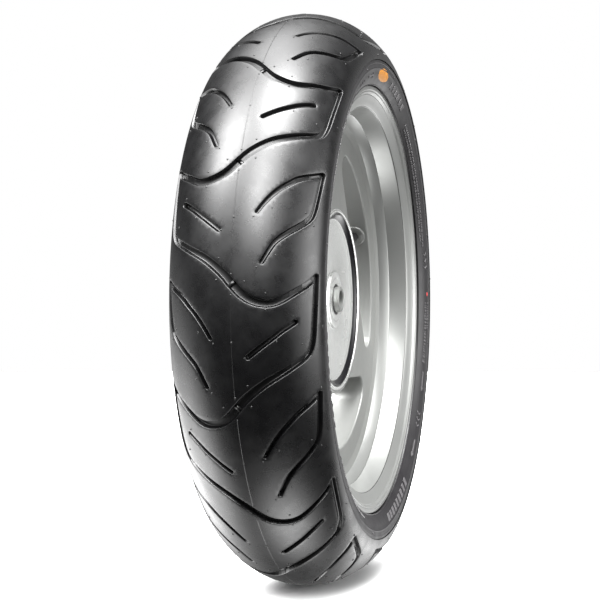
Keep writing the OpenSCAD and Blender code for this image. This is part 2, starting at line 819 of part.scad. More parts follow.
function spring_point(i, j) = let (
    a = 360 * spring_turns * i / spring_steps,
    b = 60 * j,
    r = spring_r + spring_wire / 2 * cos(b),
    z = spring_bottom + (spring_top - spring_bottom) * i / spring_steps
) [r * cos(a), r * sin(a), z + spring_wire / 2 * sin(b)];

module valve_spring() {
    points = [for (i = [0:spring_steps]) for (j = [0:5]) spring_point(i, j)];
    walls = [for (i = [0:spring_steps - 1]) for (j = [0:5]) let (k = (j + 1) % 6)
        [i * 6 + j, i * 6 + k, i * 6 + 6 + k, i * 6 + 6 + j]];
    ends = [[5, 4, 3, 2, 1, 0], [for (j = [0:5]) spring_steps * 6 + j]];
    color(STEEL) at_valve() polyhedron(points, concat(walls, ends));
}

cap_r = 5.2;
cap_wall = 1.6;
cap_bevel = 1;
cap_foot_gap = 1;
cap_head = 3;

module valve_cap() {
    from = valve_l - thread_l + cap_foot_gap;
    to = valve_l + pin_travel + cap_head;
    bore_r = thread_r + valve_clear;
    color(DARK_RUBBER) at_valve() rotate_extrude() polygon([
        [bore_r, from],
        [cap_r, from],
        [cap_r, to - cap_bevel],
        [cap_r - cap_bevel, to],
        [0, to],
        [0, to - cap_wall],
        [bore_r, to - cap_wall],
    ]);
}

// ---- nodes --------------------------------------------------------------------------------

tread();
undertread();
belt();
ply_outer();
ply_inner();
liner();
sidewall();  // sidewall_right
side(-1) sidewall();  // sidewall_left
apex();  // apex_right
side(-1) apex();  // apex_left
bead_core();  // bead_core_right
side(-1) bead_core();  // bead_core_left
chafer();  // chafer_right
side(-1) chafer();  // chafer_left
rim_barrel();
wheel_centre();
bearing_outer(right_y);  // bearing_outer_right
bearing_outer(left_y);  // bearing_outer_left
bearing_inner(right_y);  // bearing_inner_right
bearing_inner(left_y);  // bearing_inner_left
ball_set(right_y);  // balls_right
ball_set(left_y);  // balls_left
cage(right_y);  // cage_right
cage(left_y);  // cage_left
bearing_seals(right_y);  // bearing_seals_right
bearing_seals(left_y);  // bearing_seals_left
dust_seal(boss_y - seal_w);  // dust_seal_right
dust_seal(hub_left_y);  // dust_seal_left
spacer_tube();
collar_right();
collar_left();
valve_rubber();
valve_stem();
valve_core();
valve_pin();
valve_spring();
valve_cap();
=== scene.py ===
import json
import math
import random

import bpy
import numpy as np
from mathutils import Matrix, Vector
from mathutils.geometry import delaunay_2d_cdt

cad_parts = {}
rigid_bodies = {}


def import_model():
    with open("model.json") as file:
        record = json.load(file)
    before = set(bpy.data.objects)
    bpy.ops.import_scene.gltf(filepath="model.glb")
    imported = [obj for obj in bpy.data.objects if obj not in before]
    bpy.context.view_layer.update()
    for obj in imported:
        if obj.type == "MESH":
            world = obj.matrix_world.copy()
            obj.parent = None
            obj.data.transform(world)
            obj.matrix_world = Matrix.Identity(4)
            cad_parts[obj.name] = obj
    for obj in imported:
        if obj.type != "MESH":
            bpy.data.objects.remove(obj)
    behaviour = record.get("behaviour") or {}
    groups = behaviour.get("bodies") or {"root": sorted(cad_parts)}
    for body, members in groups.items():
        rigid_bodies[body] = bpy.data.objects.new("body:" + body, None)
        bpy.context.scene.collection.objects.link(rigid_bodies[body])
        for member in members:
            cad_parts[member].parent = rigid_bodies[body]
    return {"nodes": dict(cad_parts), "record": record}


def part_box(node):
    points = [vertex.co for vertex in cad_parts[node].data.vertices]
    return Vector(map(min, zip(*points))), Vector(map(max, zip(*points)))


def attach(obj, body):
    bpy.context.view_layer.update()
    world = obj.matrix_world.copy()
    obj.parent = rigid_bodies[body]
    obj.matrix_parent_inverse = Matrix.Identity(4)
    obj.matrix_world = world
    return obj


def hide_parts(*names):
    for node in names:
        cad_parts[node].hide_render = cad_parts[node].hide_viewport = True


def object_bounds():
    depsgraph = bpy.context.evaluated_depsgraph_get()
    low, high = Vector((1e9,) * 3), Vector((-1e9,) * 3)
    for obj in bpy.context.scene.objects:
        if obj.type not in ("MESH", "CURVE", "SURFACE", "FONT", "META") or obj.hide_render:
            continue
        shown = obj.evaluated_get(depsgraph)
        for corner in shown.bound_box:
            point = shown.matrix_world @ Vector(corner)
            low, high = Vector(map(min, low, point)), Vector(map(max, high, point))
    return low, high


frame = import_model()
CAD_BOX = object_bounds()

# Sizes are in millimetres, as in the CAD source, and MM turns them into Blender's metres.
# The wheel axis is Y. A section point is (place along the axis, radius).
MM = 0.001

# ---- tyre section, as in the CAD source ----

PIP_ROOM = 0.6  # the tread lies this far inside its CAD solid, so that the moulding pips stay inside it
TYRE_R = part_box("tread")[1].z / MM - PIP_ROOM
CROWN_R = 90.0
HALF_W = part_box("sidewall_right")[1].y / MM
CROWN_SWEEP = math.radians(52.9)
WALL_R = (HALF_W - CROWN_R * math.sin(CROWN_SWEEP)) / (1 - math.sin(CROWN_SWEEP))
CROWN_C = np.array([0.0, TYRE_R - CROWN_R])
WALL_C = CROWN_C + (CROWN_R - WALL_R) * np.array([math.sin(CROWN_SWEEP), math.cos(CROWN_SWEEP)])
CROWN_LENGTH = CROWN_R * CROWN_SWEEP
SHOULDER = 100.0  # where the tread ends, measured along the surface from the centre line

# ---- tread pattern ----

PITCHES = 8
PITCH = 2 * math.pi * TYRE_R / PITCHES
GRID = 1.0
PLAIN_EVERY = 4  # plain rubber has a point at every fourth line of the grid
PLAIN_CLEAR = 1.0  # and none this close to a groove
SEAM_CLEAR = 2.5  # or to the end of the pitch
STROKE_REACH = 12.0  # strokes farther than this from the points are left out
SLOPE_STEP = 0.12
WELD = 0.01
# Routes of the grooves, as (across, round the tyre). The main groove runs from one crossing of the
# centre line to the next. Each width is given as (across, width).
MAIN = [
    (0, 15.2), (10, 5), (20, -1), (33, -4), (45, -2), (60, 6), (75, 15), (86, 24.5),
    (85, 0), (83.5, -20), (81.5, -40), (78, -53), (72, -60.5),
    (60, -67), (50, -72), (30, -82), (15, -92.5), (5, -101.5), (0, -107.3),
]
BRANCH = [
    (22, 85), (30, 97), (40, 109), (50, 118), (60, 126), (75, 134), (86, 140.5),
    (83.5, 120), (80.5, 100), (77, 88), (70, 80), (60, 72), (50, 64.5), (40, 55), (29, 36),
]
BAR = [(15, -55), (30, -44), (40, -37), (50, -30), (62, -23)]
MAIN_W = ((0, 10.4), (60, 8.4), (90, 7.8))
BRANCH_W = ((22, 5.4), (45, 7.0), (60, 7.6), (90, 7.6))
BAR_W = ((0, 6.4), (90, 7.0))
CORNER = 82  # beyond this a route has its sharp corner
DEPTH = ((0, 5.8), (60, 5.4), (90, 4.8), (SHOULDER, 4.0))
# Section of a groove's edge: (distance in from the edge, share of the depth, drop in mm)
EDGE_STEPS = (
    (0.0, 0.0, 0.0), (0.28, 0.0, 0.07), (0.52, 0.0, 0.24), (0.66, 0.0, 0.6), (1.15, 0.86, 0.0),
    (1.5, 0.95, 0.0), (2.15, 1.0, 0.0),
)


def look_up(table, x):
    return np.interp(x, *zip(*table))


def smoothed(route, corner):
    """Rounds a route with a Catmull-Rom curve through its points, apart from its sharp corners."""
    points = [np.array(p, float) for p in route]
    out = [points[0]]
    for i in range(len(points) - 1):
        a, b = points[i], points[i + 1]
        before = points[i - 1] if i and a[0] < corner else 2 * a - b
        after = points[i + 2] if i + 2 < len(points) and b[0] < corner else 2 * b - a
        steps = max(1, int(np.linalg.norm(b - a) / 4))
        for k in range(1, steps + 1):
            t = k / steps
            out.append(0.5 * (2 * a + (b - before) * t + (2 * before - 5 * a + 4 * b - after) * t * t
                              + (3 * a - before - 3 * b + after) * t ** 3))
    return np.array(out)


def strokes():
    """Every groove that reaches into one pitch, as (points, half widths)."""
    out = []
    for route, widths in ((MAIN, MAIN_W), (BRANCH, BRANCH_W), (BAR, BAR_W)):
        line = smoothed(route, CORNER)
        half_w = look_up(widths, line[:, 0]) / 2
        for turn in range(-2, 3):
            out.append((line + [0, turn * PITCH], half_w))
            out.append((line * [-1, 1] + [0, (turn - 0.5) * PITCH], half_w))
    return out


def groove_distance(points, lines):
    """Distance of each point to the nearest groove's edge, negative inside a groove."""
    best = np.full(len(points), 1e9)
    low, high = points[:, 1].min() - STROKE_REACH, points[:, 1].max() + STROKE_REACH
    for line, half_w in lines:
        if line[:, 1].max() < low or line[:, 1].min() > high:
            continue
        for i in range(len(line) - 1):
            a, run = line[i], line[i + 1] - line[i]
            t = np.clip(((points - a) @ run) / (run @ run), 0, 1)
            near = points - a - t[:, None] * run
            width = half_w[i] + t * (half_w[i + 1] - half_w[i])
            best = np.minimum(best, np.sqrt((near ** 2).sum(1)) - width)
    return best


def groove_depth(inset, across):
    """Depth of the groove where a point lies this far in from the groove's edge."""
    full = look_up(DEPTH, np.abs(across))
    x, shares, drops = zip(*EDGE_STEPS)
    return np.maximum(np.interp(inset, x, shares) * full, np.interp(inset, x, drops))


# ---- flat sheets with contour lines ----

class Sheet:
    """Collects points and fixed lines in a plane, and fills them with triangles."""

    def __init__(self):
        self.points = []
        self.lines = []

    def add(self, points):
        first = len(self.points)
        self.points.extend((float(x), float(y)) for x, y in points)
        return range(first, len(self.points))

    def loop(self, points):
        ids = list(self.add(points))
        self.lines.extend(zip(ids, ids[1:] + ids[:1]))

    def contour(self, xs, ys, values, level):
        """Adds the line along which a grid of values crosses a level (marching squares)."""
        v = values - level
        v = np.where(v == 0, 1e-9, v)
        ids = {}

        def crossing(i, j, k, m):
            key = (i, j, k, m)
            if key not in ids:
                t = v[i, j] / (v[i, j] - v[k, m])
                x = xs[i] + t * (xs[k] - xs[i])
                y = ys[j] + t * (ys[m] - ys[j])
                ids[key] = self.add([(x, y)])[0]
            return ids[key]

        inside = v < 0
        total = inside[:-1, :-1] * 1 + inside[1:, :-1] + inside[1:, 1:] + inside[:-1, 1:]
        for i, j in zip(*np.nonzero((total > 0) & (total < 4))):
            corners = [(i, j), (i + 1, j), (i + 1, j + 1), (i, j + 1)]
            cuts = []
            for n in range(4):
                a, b = corners[n], corners[(n + 1) % 4]
                if inside[a] != inside[b]:
                    cuts.append(crossing(*min(a, b), *max(a, b)))
            for n in range(0, len(cuts), 2):
                self.lines.append((cuts[n], cuts[n + 1]))

    def triangles(self):
        """Points and triangles, filled out to the convex outline of all points."""
        made = delaunay_2d_cdt([Vector(p) for p in self.points], self.lines, [], 0, 1e-4)
        return np.array([tuple(p) for p in made[0]]), np.array(made[2])


def mesh_piece(name, points, faces, normals=None):
    """A smooth mesh object from points in millimetres."""
    mesh = bpy.data.meshes.new(name)
    mesh.from_pydata([tuple(p) for p in np.asarray(points) * MM], [], [tuple(f) for f in faces])
    mesh.polygons.foreach_set("use_smooth", [True] * len(mesh.polygons))
    if normals is not None:
        mesh.normals_split_custom_set_from_vertices([tuple(n) for n in normals])
    return placed(bpy.data.objects.new(name, mesh))


def around(radius, along, turn):
    """Points at a radius from the wheel axis, a place along it and a turn about it."""
    return np.stack(np.broadcast_arrays(radius * np.cos(turn), along, radius * np.sin(turn)), -1)


def ring_faces(low, high, n):
    """Faces between two rings of n points that start at these numbers."""
    return [(low + j, high + j, high + (j + 1) % n, low + (j + 1) % n) for j in range(n)]


def placed(thing):
    bpy.context.scene.collection.objects.link(thing)
    return thing


def unit(rows, least=0.0):
    """Rows of a table scaled to length 1. The least length keeps rows of zero from dividing by it."""
    return rows / np.maximum(np.linalg.norm(rows, axis=1), least)[:, None]


def gradient(height, flat, h):
    """Slope of a height over the plane, at each point."""
    return np.stack([(height(flat + d) - height(flat - d)) / (2 * h) for d in ((h, 0), (0, h))], -1)


# ---- the tread ----

def crown(s):
    """Section of the tyre's outside, s from the centre line: point and outward normal."""
    on_crown = np.abs(s) < CROWN_LENGTH
    a = np.where(on_crown, np.abs(s) / CROWN_R, CROWN_SWEEP + (np.abs(s) - CROWN_LENGTH) / WALL_R)
    out = np.stack([np.sin(a), np.cos(a)], -1)
    centre = np.where(on_crown[:, None], CROWN_C, WALL_C)
    point = centre + np.where(on_crown, CROWN_R, WALL_R)[:, None] * out
    side = np.where(s < 0, -1.0, 1.0)
    point[:, 0] *= side
    out[:, 0] *= side
    return point, out


def on_tyre(across, along, drop):
    """Points on the tyre, sunk by drop below its outside."""
    section, out = crown(across)
    place = section - out * drop[:, None]
    return around(place[:, 1], place[:, 0], along / TYRE_R)


def pitch_sheet():
    """One pitch of the tread as a flat sheet with its groove contours."""
    lines = strokes()
    rows = int(round(PITCH / GRID))
    across = np.arange(-SHOULDER, SHOULDER + 0.5, GRID)
    along = np.linspace(0, PITCH, rows + 1)
    grid = np.stack(np.meshgrid(across, along, indexing="ij"), -1)
    distance = groove_distance(grid.reshape(-1, 2), lines).reshape(grid.shape[:2])
    sheet = Sheet()
    for inset, _, _ in EDGE_STEPS:
        sheet.contour(across, along, distance, -inset)
    wide = [(across[i], along[j]) for i in range(0, len(across), PLAIN_EVERY)
            for j in range(0, rows + 1, PLAIN_EVERY)
            if distance[i, j] > PLAIN_CLEAR and along[j] < PITCH - SEAM_CLEAR]
    sheet.add(wide)
    sheet.add([(x, PITCH) for x, y in wide if y == 0])  # so that the next pitch meets this one
    return sheet.triangles(), lines


def tread_slopes(flat, lines):
    """Slope of the groove depth at each point, across the tread and along it."""
    return gradient(lambda p: groove_depth(-groove_distance(p, lines), flat[:, 0]), flat, SLOPE_STEP)


def tread():
    """The whole tread, pitch by pitch: points, faces and normals."""
    (flat, faces), lines = pitch_sheet()
    drop = groove_depth(-groove_distance(flat, lines), flat[:, 0])
    slopes = tread_slopes(flat, lines)
    _, out = crown(flat[:, 0])
    axis = np.array([0.0, 1.0, 0.0])
    points, normals, all_faces = [], [], []
    for k in range(PITCHES):
        along = flat[:, 1] + k * PITCH
        points.append(on_tyre(flat[:, 0], along, drop))
        turn = along / TYRE_R
        radial = around(1.0, 0.0, turn)
        up = out[:, 1:2] * radial + out[:, 0:1] * axis
        x_way = out[:, 1:2] * axis - out[:, 0:1] * radial
        y_way = np.stack([-np.sin(turn), np.zeros(len(turn)), np.cos(turn)], -1)
        normals.append(unit(up + slopes[:, :1] * x_way + slopes[:, 1:] * y_way))
        all_faces.append(faces + k * len(flat))
    points, faces, keep = welded(np.concatenate(points), np.concatenate(all_faces))
    return points, faces, np.concatenate(normals)[keep]


def welded(points, faces):
    """Joins points that lie on each other: points, faces, and which points were kept."""
    _, keep, where = np.unique(np.round(points / WELD).astype(np.int64), axis=0,
                               return_index=True, return_inverse=True)
    faces = where.reshape(-1)[faces]
    real = (faces[:, 0] != faces[:, 1]) & (faces[:, 1] != faces[:, 2]) & (faces[:, 2] != faces[:, 0])
    return points[keep], faces[real], keep


def make_tread():
    points, faces, normals = tread()
    piece = mesh_piece("tread_rubber", points, faces, normals)
    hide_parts("tread")
    return piece


# Moulding pips on one pitch of the right half, as (across, round the tyre)
PIPS = [
    (13, 17), (33, 6), (33, -10), (12, -56), (43, -41), (60, -17), (69, -46), (13, -83), (15, -104),
    (88, 28), (19, 80), (36, 90), (24, 31), (42, 43), (70, 91), (80, 79), (88, -98), (95, -30),
]
CENTRE_PIPS = [24, 4, -41, -95, -118, 79]  # round the tyre, on the centre line
PIP_R = (0.85, 1.1)
PIP_LOW = 0.45
PIP_BEVEL = 0.15
PIP_SIDES = 8
PARTING = ((-0.55, -0.1), (-0.2, 0.26), (0.2, 0.26), (0.55, -0.1))  # section, as (across, height)
PARTING_STEPS = 200
PARTING_CLEAR = 0.4
WEAR_BAR = (4.0, 11.0)  # length and width
WEAR_DROPS = (6.0, 4.4)  # foot and top, down from the tread's surface


def make_pips():
    """Short rubber whiskers left by the mould's vents."""
    places = []
    for k in range(PITCHES):
        for s, y in PIPS:
            places += [(s, y + k * PITCH), (-s, y + (k - 0.5) * PITCH)]
        places += [(0, y + k * PITCH) for y in CENTRE_PIPS]
    rng = random.Random(4)
    a = np.arange(PIP_SIDES) * 2 * math.pi / PIP_SIDES
    points, faces = [], []
    for s, y in places:
        r = rng.uniform(*PIP_R)
        h = rng.uniform(PIP_LOW, PIP_ROOM)
        first = len(points)
        for up, radius in ((-0.5, r), (h - PIP_BEVEL, r * 0.92), (h, r * 0.5)):
            ring = on_tyre(s + radius * np.cos(a), y + radius * np.sin(a), np.full(PIP_SIDES, -up))
            points.extend(ring)
        for low in (first, first + PIP_SIDES):
            faces += ring_faces(low, low + PIP_SIDES, PIP_SIDES)
        faces.append([first + 2 * PIP_SIDES + i for i in reversed(range(PIP_SIDES))])
    return mesh_piece("mould_pips", points, faces)


def copies():
    """The tread's repeats, as (side, distance round): each pitch and its mirrored half."""
    return [(side, (k - (0.5 if side < 0 else 0.0)) * PITCH)
            for k in range(PITCHES) for side in (1, -1)]


def make_parting_line():
    """Thin raised line that the mould's halves leave round the middle of the tread."""
    row = PARTING_STEPS + 1
    along = np.linspace(0, PITCH, PARTING_STEPS, endpoint=False)
    plain = groove_distance(np.stack([0 * along, along], -1), strokes()) > PARTING_CLEAR
    points, faces = [], []
    for k in range(PITCHES):
        first = len(points)
        for across, lift in PARTING:
            points.extend(on_tyre(np.full(row, across), k * PITCH + np.append(along, PITCH),
                                  np.full(row, -lift)))
        for i in range(PARTING_STEPS):
            if plain[i] and plain[(i + 1) % PARTING_STEPS]:
                for strip in range(len(PARTING) - 1):
                    low, high = first + strip * row + i, first + (strip + 1) * row + i
                    faces.append((low, low + 1, high + 1, high))
    return mesh_piece("parting_line", points, faces)


def make_wear_bars():
    """Small bars in the main groove's floor that show when the tread is worn down."""
    line = smoothed(MAIN, CORNER)
    i = int(np.argmax(line[1:, 0] > 0))
    run = line[i + 1] - line[i]
    place = line[i] - run * line[i][0] / run[0]
    run /= np.linalg.norm(run)
    off = np.array([-run[1], run[0]])
    length, width = WEAR_BAR
    corners = np.array([place + run * u * length / 2 + off * v * width / 2
                        for u, v in ((-1, -1), (1, -1), (1, 1), (-1, 1))])
    points, faces = [], []
    for side, turn in copies():
        first = len(points)
        for drop in WEAR_DROPS:
            points.extend(on_tyre(corners[:, 0] * side, corners[:, 1] + turn, np.full(4, drop)))
        box = [(4, 5, 6, 7)] + [(m, (m + 1) % 4, 4 + (m + 1) % 4, 4 + m) for m in range(4)]
        for face in box:
            face = tuple(first + m for m in face)
            faces.append(face[::-1] if side > 0 else face)
    return mesh_piece("wear_bars", points, faces)


# ---- turned pieces ----

CREASE = 32  # an edge that turns by more degrees than this stays sharp
MARK_CREASE = 30
STRAIGHT = 150  # a corner of a section more open than this stays as it is
FINE = 480  # segments of the large turned pieces


def turned(name, section, segments, closed=True, place=None):
    """A piece turned about the wheel axis, or moved by place, from (along, radius) points."""
    n = len(section)
    turn = np.arange(segments) * 2 * math.pi / segments
    points = np.concatenate([around(r, y, turn) for y, r in section])
    faces = []
    for i in range(n if closed else n - 1):
        faces += ring_faces(i * segments, (i + 1) % n * segments, segments)
    if place is not None:
        points = np.array([place(p) for p in points])
    piece = mesh_piece(name, points, faces)
    sharpen(piece, CREASE)
    return piece


def sharpen(piece, degrees):
    """Marks the edges that turn by more than an angle, so that smooth shading stops there."""
    mesh = piece.data
    mesh.update()
    beside = {}
    for polygon in mesh.polygons:
        for key in polygon.edge_keys:
            beside.setdefault(key, []).append(polygon.index)
    normals = np.zeros(len(mesh.polygons) * 3)
    mesh.polygons.foreach_get("normal", normals)
    normals = normals.reshape(-1, 3)
    limit = math.cos(math.radians(degrees))
    pairs = [beside.get(tuple(sorted(edge.vertices)), ()) for edge in mesh.edges]
    sharp = [len(pair) == 2 and normals[pair[0]] @ normals[pair[1]] < limit for pair in pairs]
    mesh.attributes.new("sharp_edge", "BOOLEAN", "EDGE").data.foreach_set("value", sharp)


def rounded(section, radius):
    """Rounds the corners of an open section with small arcs."""
    section = [np.array(p, float) for p in section]
    out = section[:1]
    for before, p, after in zip(section, section[1:], section[2:]):
        a, b = before - p, after - p
        la, lb = np.linalg.norm(a), np.linalg.norm(b)
        a, b = a / la, b / lb
        angle = math.acos(max(-1, min(1, float(a @ b))))
        if angle > math.radians(STRAIGHT):
            out.append(p)
            continue
        reach = min(radius / math.tan(angle / 2), 0.45 * la, 0.45 * lb)
        start, end = p + a * reach, p + b * reach
        for t in (0, 0.25, 0.5, 0.75, 1):
            out.append((1 - t) ** 2 * start + 2 * t * (1 - t) * p + t * t * end)
    return [tuple(p) for p in out + section[-1:]]


def arc(centre, radius, start, end, steps):
    angles = np.radians(np.linspace(start, end, steps + 1))
    return [(centre[0] + radius * math.cos(a), centre[1] + radius * math.sin(a)) for a in angles]


def mirrored(section):
    return [(-y, r) for y, r in reversed(section)]


# ---- sidewalls ----

RIM_R = 218.3
FLANGE_Y = 57.15
FLANGE_TOP = 232.3
CURL_R = 9.5  # the rim flange's outer roll
CURL_C = (FLANGE_Y + CURL_R, FLANGE_TOP - CURL_R)
SKIN = 0.9  # the sidewall's surface lies this far inside its CAD solid, and its marks reach up to it
RIBS = ((103.5, 0.25), (109.5, 0.2), (129.5, 0.6))  # (distance from the centre line, height)
RIB_FOOT, RIB_TOP = 0.7, 0.35
WALL_INSIDE = [(60.0, 225.0), (58.0, 236.0), (66.0, 252.0), (68.0, 262.0), (70.0, 266.0)]
WALL_SEGMENTS = 300


def wall_section():
    """Section of the right sidewall: its outer face down to the flange, and back up inside."""
    s = [SHOULDER - 0.5, SHOULDER, SHOULDER + 0.6]
    lift = [-1.3, -0.4, 0.0]
    edge = SHOULDER + 1.2
    for rib, height in RIBS:
        s += [edge + k * (rib - RIB_FOOT - edge) / 4 for k in range(1, 5)]
        lift += [0.0] * 4
        s += [rib - RIB_TOP, rib + RIB_TOP, rib + RIB_FOOT]
        lift += [height, height, 0.0]
        edge = rib + RIB_FOOT
    point, out = crown(np.array(s))
    section = [tuple(p + o * (k - SKIN)) for p, o, k in zip(point, out, lift)]
    foot = [(CURL_C[0] + 3.2, FLANGE_TOP + 3.4), (CURL_C[0], FLANGE_TOP + 2.6),
            (CURL_C[0] - 3.6, FLANGE_TOP + 0.5)]
    return section + foot + WALL_INSIDE


def make_sidewalls():
    section = wall_section()
    pieces = []
    for name, outline in (("right", section), ("left", mirrored(section))):
        piece = turned("sidewall_skin_" + name, outline, WALL_SEGMENTS)
        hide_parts("sidewall_" + name)
        pieces.append(piece)
    return pieces


def on_wall(angle, s, lift, side=1):
    """A point on the sidewall at an angle in degrees and a distance s from the centre line."""
    point, out = crown(np.array([float(s)]))
    y, r = point[0] + out[0] * (lift - SKIN)
    turn = math.radians(angle)
    return (r * math.cos(turn), side * y, r * math.sin(turn))


MARK_R = 246.0  # marks are laid out at this distance from the axis
MARK_H = 0.62
MARK_RINGS = ((0.0, -0.3), (0.0, MARK_H * 0.6), (0.18, MARK_H))  # (inset, height) of a mark's side
PLAIN_S = 117.0  # distance from the centre line of the row with the large marks
BAR_GROUPS = ((102.0, 6), (240.0, 9), (330.0, 9))  # (start in degrees, count)
BAR_STEP, BAR_H, BAR_LEAN = 2.7, 8.4, 0.3
BAR_WIDTHS = (5.6, 7.4)
# Rows of small bars where a tyre carries its small print, as (start, end, distance, height)
ROWS = ((123.0, 165.0, 120.3, 2.4), (124.0, 163.0, 124.3, 2.4), (181.0, 188.0, 112.4, 3.0),
        (181.0, 199.0, 117.4, 4.0), (20.0, 60.0, 118.0, 2.4), (290.0, 320.0, 118.0, 2.4))
ROW_WIDTHS = (1.0, 3.0)
ROW_GAP, ROW_LEAN = 1.6, 0.15
MM_PER_DEGREE = 4.3
CHEVRONS, ARROWS = (167.0, 66.0, 214.0), (204.0, 78.0, 226.0)  # start of each, in degrees
DOTS, DOT_S, DOT_R = 12, 106.5, 1.1
# Paint: (name, angle, distance, half length, half width)
PAINT = (("balance_dot", 91.5, 115.2, 23.0, 7.4), ("light_spot", 178.5, 112.7, 2.4, 1.6))
PAINT_H, PAINT_N = 0.12, 32


class Marks:
    """Raised marks on a sidewall: outlines as (mm round the wall, mm down it), each flat on top."""

    def __init__(self, side):
        self.side = side
        self.points, self.faces = [], []

    def add(self, angle, s, outline):
        area = sum(a[0] * b[1] - b[0] * a[1] for a, b in zip(outline, outline[1:] + outline[:1]))
        if area < 0:
            outline = outline[::-1]
        outline = self.split(outline)
        first = len(self.points)
        n = len(outline)
        centre = np.mean(outline, axis=0)
        for inset, height in MARK_RINGS:
            for x, down in outline:
                way = centre - (x, down)
                length = max(np.linalg.norm(way), 1e-6)
                x, down = np.array((x, down)) + way / length * inset
                turn = angle + math.degrees(x / MARK_R)
                self.points.append(on_wall(turn, s + down, height, self.side))
        for level in (0, 1):
            for i in range(n):
                k = (i + 1) % n
                a, b = first + level * n, first + (level + 1) * n
                self.faces.append(self.turned_face((a + i, a + k, b + k, b + i)))
        self.faces.append(self.turned_face(tuple(first + 2 * n + i for i in range(n))))

    def turned_face(self, face):
        return face if self.side > 0 else face[::-1]

    @staticmethod
    def split(outline, longest=3.0):
        out = []
        for a, b in zip(outline, outline[1:] + outline[:1]):
            a, b = np.array(a, float), np.array(b, float)
            steps = max(1, math.ceil(np.linalg.norm(b - a) / longest))
            out += [tuple(a + (b - a) * k / steps) for k in range(steps)]
        return out

    def bar(self, angle, s, width, height, lean):
        w, h = width / 2, height / 2
        self.add(angle, s, [(-w + lean * h, -h), (w + lean * h, -h),
                            (w - lean * h, h), (-w - lean * h, h)])

    def chevron(self, angle, s, size):
        h, w, t = size / 2, size * 0.42, size * 0.3
        self.add(angle, s, [(-w, -h), (-w + t, -h), (w, 0), (w - t, 0)])
        self.add(angle, s, [(w - t, 0), (w, 0), (-w + t, h), (-w, h)])

    def arrow(self, angle, s, length, height):
        h = height / 2
        self.add(angle, s, [(-length / 2, -h * 0.3), (length / 2 - height, -h * 0.3),
                            (length / 2 - height, h * 0.3), (-length / 2, h * 0.3)])
        self.add(angle, s, [(length / 2 - height, -h), (length / 2, 0), (length / 2 - height, h)])

    def dot(self, angle, s, radius):
        self.add(angle, s, [(radius * math.cos(k * math.pi / 8), radius * math.sin(k * math.pi / 8))
                            for k in range(16)])


def make_marks(side, name):
    """Plain marks where tyres carry raised writing: bars, chevrons, arrows and dots, no letters."""
    marks = Marks(side)
    rng = random.Random(9)
    for start, count in BAR_GROUPS:
        for k in range(count):
            marks.bar(start + k * BAR_STEP, PLAIN_S, rng.uniform(*BAR_WIDTHS), BAR_H, BAR_LEAN)
    for start, end, s, height in ROWS:
        turn = start
        while turn < end:
            width = rng.uniform(*ROW_WIDTHS)
            marks.bar(turn, s, width, height, ROW_LEAN)
            turn += (width + ROW_GAP) / MM_PER_DEGREE
    for start in CHEVRONS:
        for k in range(3):
            marks.chevron(start + k * 1.9, PLAIN_S, 6.0)
    for start in ARROWS:
        marks.arrow(start, PLAIN_S, 26, 6.0)
    for k in range(DOTS):
        marks.dot(12 + k * 360 // DOTS, DOT_S, DOT_R)
    piece = mesh_piece("sidewall_marks_" + name, marks.points, marks.faces)
    sharpen(piece, MARK_CREASE)
    return piece


def make_paint_dots():
    """The paint marks on the right sidewall: a large yellow oval and a small red dot."""
    out = []
    n = PAINT_N
    for name, angle, s, along, down in PAINT:
        points, faces = [on_wall(angle, s, PAINT_H)], []
        for share, lift in ((0.5, PAINT_H), (0.94, PAINT_H), (1.0, -0.1)):
            for k in range(n):
                a = k * 2 * math.pi / n
                turn = angle + math.degrees(share * along * math.cos(a) / MARK_R)
                points.append(on_wall(turn, s + share * down * math.sin(a), lift))
        for k in range(n):
            m = (k + 1) % n
            faces.append((0, 1 + k, 1 + m))
            for a in (1, 1 + n):
                faces.append((a + k, a + n + k, a + n + m, a + m))
        out.append(mesh_piece(name, points, faces))
    return out


# ---- rim ----

WELL_R, WELL_INNER_R = 195.0, 189.5
SEAT_R = 2.5  # fillet between the tyre's seat and the flange
FLANGE_EDGE = 0.8
# Rounded steps from the flange's edge down to the barrel
RIM_STEPS = (
    (67.4, 229.6), (67.4, 228.3), (66.5, 227.7), (66.0, 226.4), (66.35, 225.9), (65.05, 224.6),
    (63.85, 223.4), (64.0, 222.6), (63.4, 221.6), (61.05, 215.9), (59.3, 211.6), (58.45, 210.4),
    (57.6, 209.8), (40.1, 203.8), (39.35, 203.5), (38.5, 202.3), (26.0, 195.2),
)
# Shadow lines in those steps, each from one point to another, and how far they stand off
RIM_LINES = (((66.5, 227.6), (66.05, 226.4)), ((65.9, 225.4), (65.1, 224.6)),
             ((63.95, 222.9), (63.5, 221.8)), ((59.0, 211.0), (58.5, 210.2)),
             ((39.3, 203.2), (38.6, 202.4)))
LINE_LIFT = 0.12


def make_rim():
    half = [(0, WELL_R), (15, WELL_R), (29.65, 215.5), (32.15, 217.6), (34.65, 217.6), (36.65, 216.5)]
    half += arc((FLANGE_Y - SEAT_R, RIM_R + 2.28), SEAT_R, 270, 360, 6)
    half += arc(CURL_C, CURL_R, 180, 90, 14)
    half += arc((CURL_C[0], FLANGE_TOP - FLANGE_EDGE), FLANGE_EDGE, 60, 0, 4)
    half += rounded(RIM_STEPS, 0.9)
    half += [(12, WELL_INNER_R), (0, WELL_INNER_R)]
    piece = turned("rim_barrel_finished", mirrored(half)[:-1] + half[:-1], FINE)
    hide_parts("rim_barrel")
    return piece


def make_rim_lines():
    """Shadow lines in the narrow steps of the flange and of the band inside it."""
    made = []
    for n, (start, end) in enumerate(RIM_LINES):
        start, end = np.array(start), np.array(end)
        run = end - start
        off = np.array([-run[1], run[0]]) / np.linalg.norm(run) * -LINE_LIFT
        made.append(turned("rim_line_%d" % (n + 1), [start + off, end + off], FINE, False))
    return made


# ---- wheel centre ----

